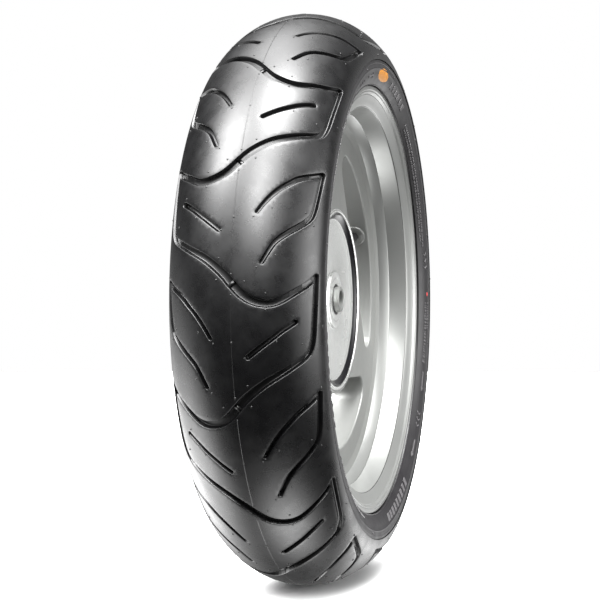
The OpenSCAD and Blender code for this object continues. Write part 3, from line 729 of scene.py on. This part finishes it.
FACE_Y = 26.0
BACK_Y = -8.0
WINDOW_OUT, WINDOW_IN = 165.0, 103.3
OUT_FILLET, IN_FILLET = 16.0, 6.0
OUT_TURN, IN_TURN = 14.8, 29.7
EDGE_R = 2.0  # rounding of the windows' front and back edges
EDGE_SHARES = (0.0, 0.12, 0.4, 0.7, 1.0)  # contours that carry the rounding
FACE_IN, FACE_OUT = 99.5, 186.7  # the flat face runs between these radii
HUB_CONE = ((97.3, 8.0), (106.3, BACK_Y))  # back of the spokes near the hub, as (radius, along)
PLATE_GRID = 1.5
PLATE_STEP = 0.05  # for slopes


def window_outline():
    """Outline of the window from the spoke at 0 degrees to the spoke at 120 degrees."""
    def polar(r, turn):
        return np.array([r * math.cos(math.radians(turn)), r * math.sin(math.radians(turn))])

    outer, inner = polar(WINDOW_OUT - OUT_FILLET, OUT_TURN), polar(WINDOW_IN + IN_FILLET, IN_TURN)
    run = inner - outer
    lean = (math.degrees(math.atan2(run[1], run[0])) - 270
            - math.degrees(math.asin((OUT_FILLET - IN_FILLET) / np.linalg.norm(run))))
    half = arc(outer, OUT_FILLET, OUT_TURN, lean, 24)
    half += arc(inner, IN_FILLET, lean, IN_TURN - 180, 16)
    c, s = math.cos(math.radians(120)), math.sin(math.radians(120))
    far = [(x * c + z * s, x * s - z * c) for x, z in reversed(half)]
    hub = arc((0, 0), WINDOW_IN, IN_TURN, 120 - IN_TURN, 40)
    rim = arc((0, 0), WINDOW_OUT, 120 - OUT_TURN, OUT_TURN, 80)
    return np.array(half + hub[1:-1] + far + rim[1:-1])


def window_distance(points):
    """Distance of points (x, z) to the edge of the nearest window, negative inside it."""
    outline = window_outline()
    turn = np.mod(np.arctan2(points[:, 1], points[:, 0]) - math.radians(90), math.radians(120))
    radius = np.hypot(points[:, 0], points[:, 1])
    p = np.stack([radius * np.cos(turn), radius * np.sin(turn)], -1)
    best = np.full(len(p), 1e9)
    inside = np.zeros(len(p), bool)
    for a, b in zip(outline, np.roll(outline, -1, axis=0)):
        run = b - a
        t = np.clip(((p - a) @ run) / (run @ run), 0, 1)
        best = np.minimum(best, np.hypot(*(p - a - t[:, None] * run).T))
        crosses = (a[1] > p[:, 1]) != (b[1] > p[:, 1])
        if abs(run[1]) > 1e-12:
            inside ^= crosses & (p[:, 0] < a[0] + (p[:, 1] - a[1]) * run[0] / run[1])
    return np.where(inside, -best, best)


def plate_sheet(low_r, high_r, circles):
    """The spoked plate between two radii as a flat sheet: points and faces."""
    xs = np.arange(-high_r - 3, high_r + 3.1, PLATE_GRID)
    grid = np.stack(np.meshgrid(xs, xs, indexing="ij"), -1)
    distance = window_distance(grid.reshape(-1, 2)).reshape(grid.shape[:2])
    sheet = Sheet()
    for share in EDGE_SHARES:
        sheet.contour(xs, xs, distance, share * EDGE_R)
    for radius in (low_r, high_r) + circles:
        turns = [math.radians(k) for k in range(360)]
        ring = [(radius * math.cos(a), radius * math.sin(a)) for a in turns]
        if not low_r < radius < high_r or window_distance(np.array(ring)).min() >= 0:
            sheet.loop(ring)
    wide = grid[::6, ::6].reshape(-1, 2)
    r = np.hypot(*wide.T)
    sheet.add(wide[(r > low_r + 2) & (r < high_r - 2) & (window_distance(wide) > EDGE_R + 1)])
    flat, faces = sheet.triangles()
    centre = flat[faces].mean(axis=1)
    r = np.hypot(*centre.T)
    return flat, faces[(r > low_r) & (r < high_r) & (window_distance(centre) > 0)]


def border(faces):
    """The edges that belong to one face only, in that face's direction."""
    beside = {}
    for a, b, c in faces:
        for edge in ((a, b), (b, c), (c, a)):
            beside.setdefault(tuple(sorted(edge)), []).append(edge)
    return [edges[0] for edges in beside.values() if len(edges) == 1]


def plate(low_r, high_r, height, up, circles=()):
    """One face of the spoked plate: points, faces, normals, window edges and slopes to them."""
    flat, faces = plate_sheet(low_r, high_r, circles)
    distance, radius = window_distance(flat), np.hypot(*flat.T)
    inset = np.clip(EDGE_R - distance, 0, EDGE_R)
    y = height(radius) - up * (EDGE_R - np.sqrt(EDGE_R ** 2 - inset ** 2))
    slope = unit(gradient(window_distance, flat, PLATE_STEP), 1e-6)
    lean = inset / EDGE_R
    level = np.sqrt(1 - lean ** 2)
    h = PLATE_STEP
    grade = (height(radius + h) - height(radius - h)) / (2 * h)
    radial = flat / np.maximum(radius, 1e-6)[:, None]
    side = -lean[:, None] * slope - (up * level * grade)[:, None] * radial
    normals = unit(np.stack([side[:, 0], up * level, side[:, 1]], -1))
    if up > 0:
        faces = faces[:, ::-1]
    edges = [(a, b) for a, b in border(faces) if abs(distance[a]) < 0.2 and abs(distance[b]) < 0.2]
    return np.stack([flat[:, 0], y, flat[:, 1]], -1), faces, normals, edges, slope


def back_height(radius):
    """The back of the spokes is flat outside, and a cone joins it to the hub."""
    return look_up(HUB_CONE, radius)


def make_wheel_centre():
    """The spoked plate, front and back, with walls in its windows."""
    front, front_faces, front_normals, edges, slope = plate(
        FACE_IN, FACE_OUT, lambda r: np.full(len(r), FACE_Y), 1)
    back, back_faces, back_normals, _, _ = plate(
        HUB_CONE[0][0], WELL_INNER_R, back_height, -1, (HUB_CONE[1][0],))
    faces = [tuple(f) for f in front_faces] + [tuple(f + len(front)) for f in back_faces]
    made, wall_points, wall_normals = {}, [], []

    def wall_point(i, low):
        if (i, low) not in made:
            x, y, z = front[i]
            if low:
                y = float(back_height(np.array([math.hypot(x, z)]))[0]) + EDGE_R
            made[i, low] = len(front) + len(back) + len(wall_points)
            wall_points.append((x, y, z))
            wall_normals.append((-slope[i][0], 0.0, -slope[i][1]))
        return made[i, low]

    for a, b in edges:
        faces.append((wall_point(b, False), wall_point(a, False), wall_point(a, True), wall_point(b, True)))
    points = np.concatenate([front, back, np.array(wall_points)])
    normals = np.concatenate([front_normals, back_normals, np.array(wall_normals)])
    piece = mesh_piece("spoked_plate", points, faces, normals)
    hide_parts("wheel_centre")
    return piece


def make_cove():
    """The cove that joins the spoked plate to the rim, and the plate's edge behind it."""
    cove = rounded([(FACE_Y, FACE_OUT - 0.01), (FACE_Y, 187.6), (26.7, 190.8), (27.6, 193.6),
                    (28.6, 196.75)], 3.0)
    back_edge = [(FACE_Y, 195.2), (12.0, WELL_INNER_R), (BACK_Y, WELL_INNER_R)]
    return turned("face_cove", cove + back_edge, FINE, closed=False)


BEARING_R, BARREL_R = 23.5, 34.0
DISH_Y, BOSS_Y, LIP_Y = 21.0, 24.3, FACE_Y + 1.2
HUB_LEFT_Y = -50.0
SHADE_LIFT = 0.12
# Section of the dish's wall that carries the painted shade
SHADE = ((DISH_Y, 88.0), (DISH_Y + 0.75, 89.6), (DISH_Y + 1.9, 92.8), (DISH_Y + 3.6, 94.9),
         (FACE_Y - 0.4, 95.55))


def make_hub():
    """The dish with its boss and lip, and the barrel behind it."""
    front = [(10.0, BEARING_R), (BOSS_Y, BEARING_R), (BOSS_Y, 31.0), (DISH_Y, 31.6), (DISH_Y, 85.0),
             (DISH_Y + 0.7, 89.4), (DISH_Y + 1.9, 93.0), (DISH_Y + 3.9, 95.4), (LIP_Y, 95.7),
             (LIP_Y, 98.0), (FACE_Y, 98.1), (FACE_Y, FACE_IN + 0.01)]
    back = [(8.0, 97.3), (8.0, 38.0), (4.0, BARREL_R), (HUB_LEFT_Y, BARREL_R),
            (HUB_LEFT_Y, BEARING_R), (-20.0, BEARING_R)]
    return (flipped(turned("hub_dish", rounded(front, 1.1), FINE, closed=False)),
            flipped(turned("hub_barrel", rounded(back, 1.5), 360, closed=False)))


def make_dish_shade():
    """A dark sheet just off the dish's wall, between its polished floor and the lip: painted shade of a
    deep channel there.
    """
    section = [(y + SHADE_LIFT, r - SHADE_LIFT) for y, r in SHADE]
    return flipped(turned("dish_wall", section, FINE, closed=False))


def flipped(piece):
    piece.data.flip_normals()
    return piece


# ---- valve and axle pieces ----

VALVE_TURN = math.radians(153)
VALVE_Y = 9.5
VALVE_L = 32.0
VALVE_SEGMENTS = 64
CAP_LOW, CAP_HIGH = VALVE_L - 7.0, VALVE_L + 4.5
GRIP_LOW, GRIP_HIGH = VALVE_L - 6.2, VALVE_L + 2.6  # the ridges run between these
GRIP_R = 4.8  # only points outside this radius are on the grip
RIDGES, RIDGE_DEPTH = 20, 0.28


def at_valve(p):
    """A point drawn about Y at the origin, moved to the valve's seat and turned to the axis."""
    x, y, z = p
    c, s = math.cos(VALVE_TURN), math.sin(VALVE_TURN)
    r = WINDOW_OUT - y
    return (r * c - x * s, VALVE_Y + z, r * s + x * c)


def valve_piece(name, section, segments, closed=True):
    return turned(name, section, segments, closed, at_valve)


def make_valve_boss():
    """The raised ring round the valve's hole, blended into the curved wall of the window."""
    section = [(-3.0, 12.6), (-0.6, 12.6), (0.0, 12.9), (0.5, 12.2), (1.2, 11.7), (1.55, 11.2),
               (1.6, 10.4), (1.5, 9.6), (1.1, 9.0), (0.9, 8.2), (0.9, 5.0), (0.6, 4.4), (-2.0, 4.2)]
    return valve_piece("valve_boss", section, 96, closed=False)


def make_valve():
    rubber = [(-11, 2.7), (-11, 7), (-9.5, 8), (-6, 8), (-6, 4.1), (0.9, 4.1), (1.3, 4.9), (2.4, 4.9),
              (3.4, 4.5), (5.2, 4.4), (23.6, 3.9), (24, 2.75)]
    sleeve = valve_piece("valve_sleeve", rounded(rubber, 0.5), VALVE_SEGMENTS, False)
    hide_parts("valve_rubber")
    low, high = CAP_LOW, CAP_HIGH
    section = [(low, 3.9), (low, 4.9), (low + 0.4, 5.2), (high - 2.4, 5.2), (high - 1.6, 5.0),
               (high - 0.4, 4.2), (high, 3.0), (high, 0.001), (high - 1.6, 0.001), (high - 1.6, 3.9)]
    cap = valve_piece("valve_cap_ribbed", section, RIDGES * 6)
    for vertex in cap.data.vertices:
        sink_grip(vertex)
    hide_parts("valve_cap")
    return sleeve, cap


def sink_grip(vertex):
    """Sinks the cap's side between its grip ridges."""
    out = Vector((math.cos(VALVE_TURN), 0, math.sin(VALVE_TURN)))
    base = Vector((0, VALVE_Y * MM, 0))
    along = (vertex.co - base).dot(out)
    off = vertex.co - base - out * along
    if off.length / MM > GRIP_R and GRIP_LOW < WINDOW_OUT - along / MM < GRIP_HIGH:
        turn = math.atan2(off.dot(Vector((-out.z, 0, out.x))), off.y)
        sink = RIDGE_DEPTH * (0.5 - 0.5 * math.cos(turn * RIDGES))
        vertex.co -= off.normalized() * sink * MM


def ends(box, side):
    """Inner and outer end of a box at one end of the hub, along the axis."""
    low, high = (corner.y / MM for corner in box)
    return (low, high) if side > 0 else (high, low)


def make_axle_pieces():
    """The seal's lip, its case and the collar at each end of the hub, with their small bevels."""
    out = []
    for side, name in ((1, "right"), (-1, "left")):
        a, b = ends(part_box("dust_seal_" + name), side)
        seal = [(a, 14.06), (a, 23.5), (b - side * 0.3, 23.5), (b, 23.2), (b, 20.6),
                (b - side * 0.7, 20.2), (b - side * 0.9, 17.6), (b - side * 0.3, 16.4), (b, 15.6),
                (b - side * 0.2, 14.06)]
        case = [(b - side * 1.2, 16.8), (b - side * 0.02, 17.0), (b + side * 0.02, 23.3),
                (b - side * 0.2, 23.45)]
        c, d = ends(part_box("collar_" + name), side)
        collar = [(c, 10.0), (c, 14.0), (d - side * 0.8, 14.0), (d, 13.2), (d, 10.7),
                  (d - side * 0.7, 10.0)]
        made = [turned("dust_seal_lip_" + name, seal, 128), turned("collar_bevelled_" + name, collar, 128),
                turned("dust_seal_case_" + name, case, 128, closed=False)]
        if side < 0:
            for piece in made:
                flipped(piece)
        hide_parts("dust_seal_" + name)
        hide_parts("collar_" + name)
        out.append(made)
    return out


# ---- materials ----

METAL_GRAIN, METAL_WEAR = 300.0, 0.04


class Nodes:
    """Short calls for building the node tree of a material or a world."""

    def __init__(self, owner, shader, place):
        owner.use_nodes = True
        self.owner, self.tree = owner, owner.node_tree
        self.shader = self.tree.nodes[shader]
        self.place = self.tree.nodes.new("ShaderNodeTexCoord").outputs[place]

    def set(self, **values):
        for key, value in values.items():
            self.shader.inputs[key.replace("_", " ")].default_value = value

    def node(self, kind, inputs, **settings):
        """A new node. Each input is a value, a socket to link, or None to leave it as it is."""
        node = self.tree.nodes.new(kind)
        for key, value in settings.items():
            setattr(node, key, value)
        for key, value in inputs.items():
            if isinstance(value, bpy.types.NodeSocket):
                self.link(value, node.inputs[key])
            elif value is not None:
                node.inputs[key].default_value = value
        return node

    def link(self, a, b):
        self.tree.links.new(a, b)

    def noise(self, scale, detail, vector=None):
        inputs = {"Scale": scale, "Detail": detail, "Roughness": 0.55, "Vector": vector or self.place}
        return self.node("ShaderNodeTexNoise", inputs).outputs["Fac"]

    def ramp(self, value, low, high, a, b):
        node = self.node("ShaderNodeValToRGB", {"Fac": value})
        for element, position, color in zip(node.color_ramp.elements, (low, high), (a, b)):
            element.position = position
            element.color = (*color, 1)
        return node.outputs["Color"]

    def spread(self, value, low, high, a, b):
        inputs = {"Value": value, "From Min": low, "From Max": high, "To Min": a, "To Max": b}
        return self.node("ShaderNodeMapRange", inputs).outputs["Result"]

    def math(self, operation, *values):
        return self.node("ShaderNodeMath", dict(enumerate(values)), operation=operation).outputs[0]

    def times(self, a, b):
        return self.math("MULTIPLY", a, b)

    def polar(self):
        """Distance from the wheel axis, turn about it, and place along it."""
        x, y, z = self.node("ShaderNodeSeparateXYZ", {0: self.place}).outputs
        radius = self.math("SQRT", self.math("ADD", self.times(x, x), self.times(z, z)))
        return radius, self.math("ARCTAN2", z, x), y

    def combine(self, *values):
        return self.node("ShaderNodeCombineXYZ", dict(enumerate(values))).outputs[0]

    def color(self, value, low, high, a, b):
        self.link(self.ramp(value, low, high, a, b), self.shader.inputs["Base Color"])

    def roughness(self, value, a, b):
        self.link(self.spread(value, 0.3, 0.7, a, b), self.shader.inputs["Roughness"])

    def bump(self, value, distance, strength):
        normal = self.shader.inputs["Normal"]
        before = normal.links[0].from_socket if normal.is_linked else None
        inputs = {"Distance": distance, "Strength": strength, "Height": value, "Normal": before}
        self.link(self.node("ShaderNodeBump", inputs).outputs["Normal"], normal)


def material_nodes(name):
    return Nodes(bpy.data.materials.new(name), "Principled BSDF", "Object")


def rubber(name, dark, light, roughness, grain, streaks=False):
    """Vulcanised rubber: fine grain, faint bloom, and streaks round the tyre from the mould."""
    n = material_nodes(name)
    n.color(n.noise(9, 5), 0.32, 0.72, dark, light)
    n.roughness(n.noise(60, 4), roughness - 0.05, roughness + 0.07)
    n.set(Specular_IOR_Level=0.5)
    n.bump(n.noise(grain, 3), 0.00012, 0.6)
    if streaks:
        radius, turn, _ = n.polar()
        place = n.combine(n.times(radius, 900), n.times(turn, 3), 0.0)
        n.bump(n.noise(1.0, 2, place), 0.0001, 0.5)
    return n.owner


def metal(name, color, roughness, ring_scale=0.0, metallic=1.0, level=0.5):
    """Metal with fine turning marks round the wheel axis and slight variation in its polish."""
    n = material_nodes(name)
    n.color(n.noise(14, 4), 0.3, 0.7, tuple(c * 0.93 for c in color), color)
    n.roughness(n.noise(40, 5), roughness - METAL_WEAR / 2, roughness + METAL_WEAR)
    n.set(Metallic=metallic, Specular_IOR_Level=level)
    if ring_scale:
        radius, turn, along = n.polar()
        place = n.combine(n.times(radius, ring_scale), n.times(along, ring_scale), n.times(turn, 2))
        n.bump(n.noise(1.0, 3, place), 0.00002, 0.5)
    n.bump(n.noise(METAL_GRAIN, 3), 0.00001, 0.4)
    return n.owner


def plastic(name, color, roughness):
    n = material_nodes(name)
    n.color(n.noise(120, 4), 0.35, 0.65, tuple(c * 0.85 for c in color), color)
    n.roughness(n.noise(400, 3), roughness - 0.05, roughness + 0.08)
    n.bump(n.noise(900, 3), 0.00003, 0.5)
    return n.owner


def cord(name, color, spacing, metallic):
    """Rubbered cord: fine ribs across the wheel axis."""
    n = material_nodes(name)
    _, turn, _ = n.polar()
    ribs = n.math("SINE", n.times(turn, spacing))
    n.color(n.spread(ribs, -1, 1, 0, 1), 0.2, 0.8, tuple(c * 0.5 for c in color), color)
    n.roughness(n.noise(200, 3), 0.5, 0.7)
    n.set(Metallic=metallic)
    n.bump(ribs, 0.0003, 0.6)
    return n.owner


def make_materials():
    kinds = {
        "tread_rubber": (rubber, (0.0014, 0.0014, 0.0016), (0.0022, 0.0022, 0.0024), 0.28, 1400),
        "side_rubber": (rubber, (0.0045, 0.004, 0.0048), (0.007, 0.0063, 0.0075), 0.42, 900, True),
        "carcass_cord": (cord, (0.30, 0.26, 0.18), 1600, 0.0),
        "steel_cord": (cord, (0.45, 0.42, 0.36), 900, 0.8),
        "polished_alloy": (metal, (0.25, 0.255, 0.247), 0.3, 2500, 0.6),
        "machined_alloy": (metal, (0.21, 0.214, 0.206), 0.4, 1800, 0.5),
        "bright_alloy": (metal, (0.22, 0.224, 0.218), 0.24, 1800, 0.7),
        # near-black gloss that paints shade: the shadow lines in the rim's steps and the dark channel of
        # the dish
        "dark_alloy": (metal, (0.006, 0.006, 0.007), 0.14, 1800, 0.0, 0.3),
        "mark_rubber": (rubber, (0.045, 0.043, 0.045), (0.07, 0.067, 0.07), 0.5, 900),
        "collar_alloy": (metal, (0.22, 0.225, 0.217), 0.4, 2500, 0.5),
        "bearing_steel": (metal, (0.72, 0.73, 0.75), 0.15, 3000),
        "cage_brass": (metal, (0.66, 0.52, 0.26), 0.3, 1500),
        "valve_brass": (metal, (0.70, 0.60, 0.38), 0.28),
        "seal_rubber": (rubber, (0.003, 0.003, 0.0034), (0.005, 0.005, 0.0055), 0.5, 2000),
        "cap_plastic": (plastic, (0.02, 0.02, 0.022), 0.4),
        "yellow_paint": (plastic, (0.50, 0.19, 0.006), 0.5),
        "red_paint": (plastic, (0.45, 0.03, 0.03), 0.5),
    }
    return {name: kind(name, *values) for name, (kind, *values) in kinds.items()}


def dress(piece, material):
    piece.data.materials.clear()
    piece.data.materials.append(material)


# ---- studio ----

CAMERA = Vector((1.9616, 0.5148, -0.0005))
LOOK = Vector((-0.9652, -0.2616, 0.0))
LENS = 110.4


def make_camera():
    data = bpy.data.cameras.new("camera")
    data.lens, data.sensor_width = LENS, 36
    camera = placed(bpy.data.objects.new("camera", data))
    camera.location = CAMERA
    camera.rotation_euler = LOOK.to_track_quat("-Z", "Y").to_euler()
    bpy.context.scene.camera = camera


# Light from round the studio: (direction, how narrow, strength)
LOBES = [
    ((0.44, -0.10, 0.89), 6, 5.5),
    ((0.14, 0.19, 0.97), 26, 44.0),
    ((0.36, -0.50, 0.78), 26, 35.0),
    ((0.72, 0.20, 0.66), 30, 28.0),
    ((-0.35, -0.20, 0.92), 20, 7.0),
    ((0.00, 0.99, 0.13), 20, 10.0),
    ((-0.16, -0.82, -0.55), 14, 7.0),
    ((-0.65, -0.69, -0.32), 50, 6.5),
    ((-0.11, 0.16, -0.98), 22, 8.0),
    ((-0.87, 0.29, -0.39), 40, 4.0),
    ((-0.93, 0.30, -0.10), 8, 0.5),
]
AMBIENT = 0.04
WHITE = (1, 1, 1, 1)


def make_studio():
    """Soft light from a few wide lobes round the object, in front of a white background."""
    world = bpy.data.worlds.new("studio")
    bpy.context.scene.world = world
    n = Nodes(world, "Background", "Generated")
    total = AMBIENT
    for direction, narrow, strength in LOBES:
        inputs = {0: n.place, 1: Vector(direction).normalized()}
        near = n.node("ShaderNodeVectorMath", inputs, operation="DOT_PRODUCT").outputs["Value"]
        fall = n.math("EXPONENT", n.math("MULTIPLY_ADD", near, narrow, -narrow))
        total = n.math("MULTIPLY_ADD", fall, strength, total)
    n.link(total, n.shader.inputs["Strength"])
    n.set(Color=WHITE)
    seen = n.node("ShaderNodeBackground", {"Color": WHITE})
    camera_ray = n.node("ShaderNodeLightPath", {}).outputs["Is Camera Ray"]
    mix = n.node("ShaderNodeMixShader", {0: camera_ray, 1: n.shader.outputs[0], 2: seen.outputs[0]})
    n.link(mix.outputs[0], n.tree.nodes["World Output"].inputs["Surface"])


# Wide soft lights that fall on the bright alloy only: (name, direction, angle across, strength)
WHEEL_LIGHTS = [
    ("wheel_right", (0.97, 0.22, 0.1), 50, 36.0),
    ("wheel_low", (0.3, 0.4, -0.87), 90, 13.0),
    ("wheel_back", (-0.93, 0.36, 0.0), 80, 0.6),
]
FLOOR_GAP = 0.02
FLOOR_R = 6000
FLOOR_N = 48


def make_wheel_lights(lit):
    group = bpy.data.collections.new("wheel_metal")
    for piece in bpy.data.objects:
        if piece.type == "MESH" and lit in piece.data.materials[:]:
            group.objects.link(piece)
    for name, direction, angle, strength in WHEEL_LIGHTS:
        data = bpy.data.lights.new(name, "SUN")
        data.angle = math.radians(angle)
        data.energy = strength
        light = placed(bpy.data.objects.new(name, data))
        light.rotation_euler = Vector(direction).to_track_quat("Z", "Y").to_euler()
        light.light_linking.receiver_collection = group


def make_floor():
    low = CAD_BOX[0][2] / MM - FLOOR_GAP
    turns = [2 * math.pi * k / FLOOR_N for k in range(FLOOR_N)]
    points = [(0, 0, low)] + [(FLOOR_R * math.cos(a), FLOOR_R * math.sin(a), low) for a in turns]
    floor = mesh_piece("floor", points, [(0, 1 + k, 1 + (k + 1) % FLOOR_N) for k in range(FLOOR_N)])
    n = material_nodes("floor_paper")
    n.color(n.noise(3, 3), 0.3, 0.7, (0.86, 0.86, 0.86), (0.90, 0.90, 0.90))
    n.set(Roughness=0.6)
    dress(floor, n.owner)
    floor.visible_glossy = False
    floor.visible_diffuse = False
    floor.visible_shadow = False


# ---- assembly ----

BODIES = {"cap_plastic": "valve_cap_set", "collar_alloy": "axle_set"}  # the rest is on the wheel


def make_pieces():
    """Every piece that dresses the CAD, as (pieces, slot, material)."""
    tread_pieces = [make_tread(), make_pips(), make_parting_line(), make_wear_bars()]
    yield tread_pieces, "tread_rubber", "tread_rubber"
    yield make_sidewalls(), "side_rubber", "side_rubber"
    yield [make_marks(1, "right"), make_marks(-1, "left")], "side_rubber", "mark_rubber"
    dot, spot = make_paint_dots()
    yield [dot], "side_rubber", "yellow_paint"
    yield [spot], "side_rubber", "red_paint"
    yield [make_rim()], "polished_alloy", "polished_alloy"
    # thin dark strips that paint the shadow in the rim's narrow steps
    yield make_rim_lines(), "polished_alloy", "dark_alloy"
    centre, (dish, barrel), cove = make_wheel_centre(), make_hub(), make_cove()
    yield [centre, cove, barrel, make_valve_boss()], "machined_alloy", "machined_alloy"
    yield [dish], "machined_alloy", "bright_alloy"
    # dark sheet that paints the shade of the dish's channel
    yield [make_dish_shade()], "machined_alloy", "dark_alloy"
    sleeve, cap = make_valve()
    yield [sleeve], "seal_rubber", "seal_rubber"
    yield [cap], "cap_plastic", "cap_plastic"
    for seal, collar, case in make_axle_pieces():
        yield [seal], "seal_rubber", "seal_rubber"
        yield [case], "seal_rubber", "bright_alloy"
        yield [collar], "collar_alloy", "collar_alloy"


def main():
    bpy.context.scene.view_settings.view_transform = "Standard"
    materials = make_materials()
    slots = {part["node"]: part["material_slot"] for part in frame["record"]["subparts"]}
    for name, node in frame["nodes"].items():
        dress(node, materials[slots[name]])
    for pieces, slot, material in make_pieces():
        for piece in pieces:
            dress(piece, materials[material])
            if piece.parent is None:
                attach(piece, BODIES.get(slot, "wheel"))
    make_camera()
    make_studio()
    make_wheel_lights(materials["bright_alloy"])
    make_floor()


main()
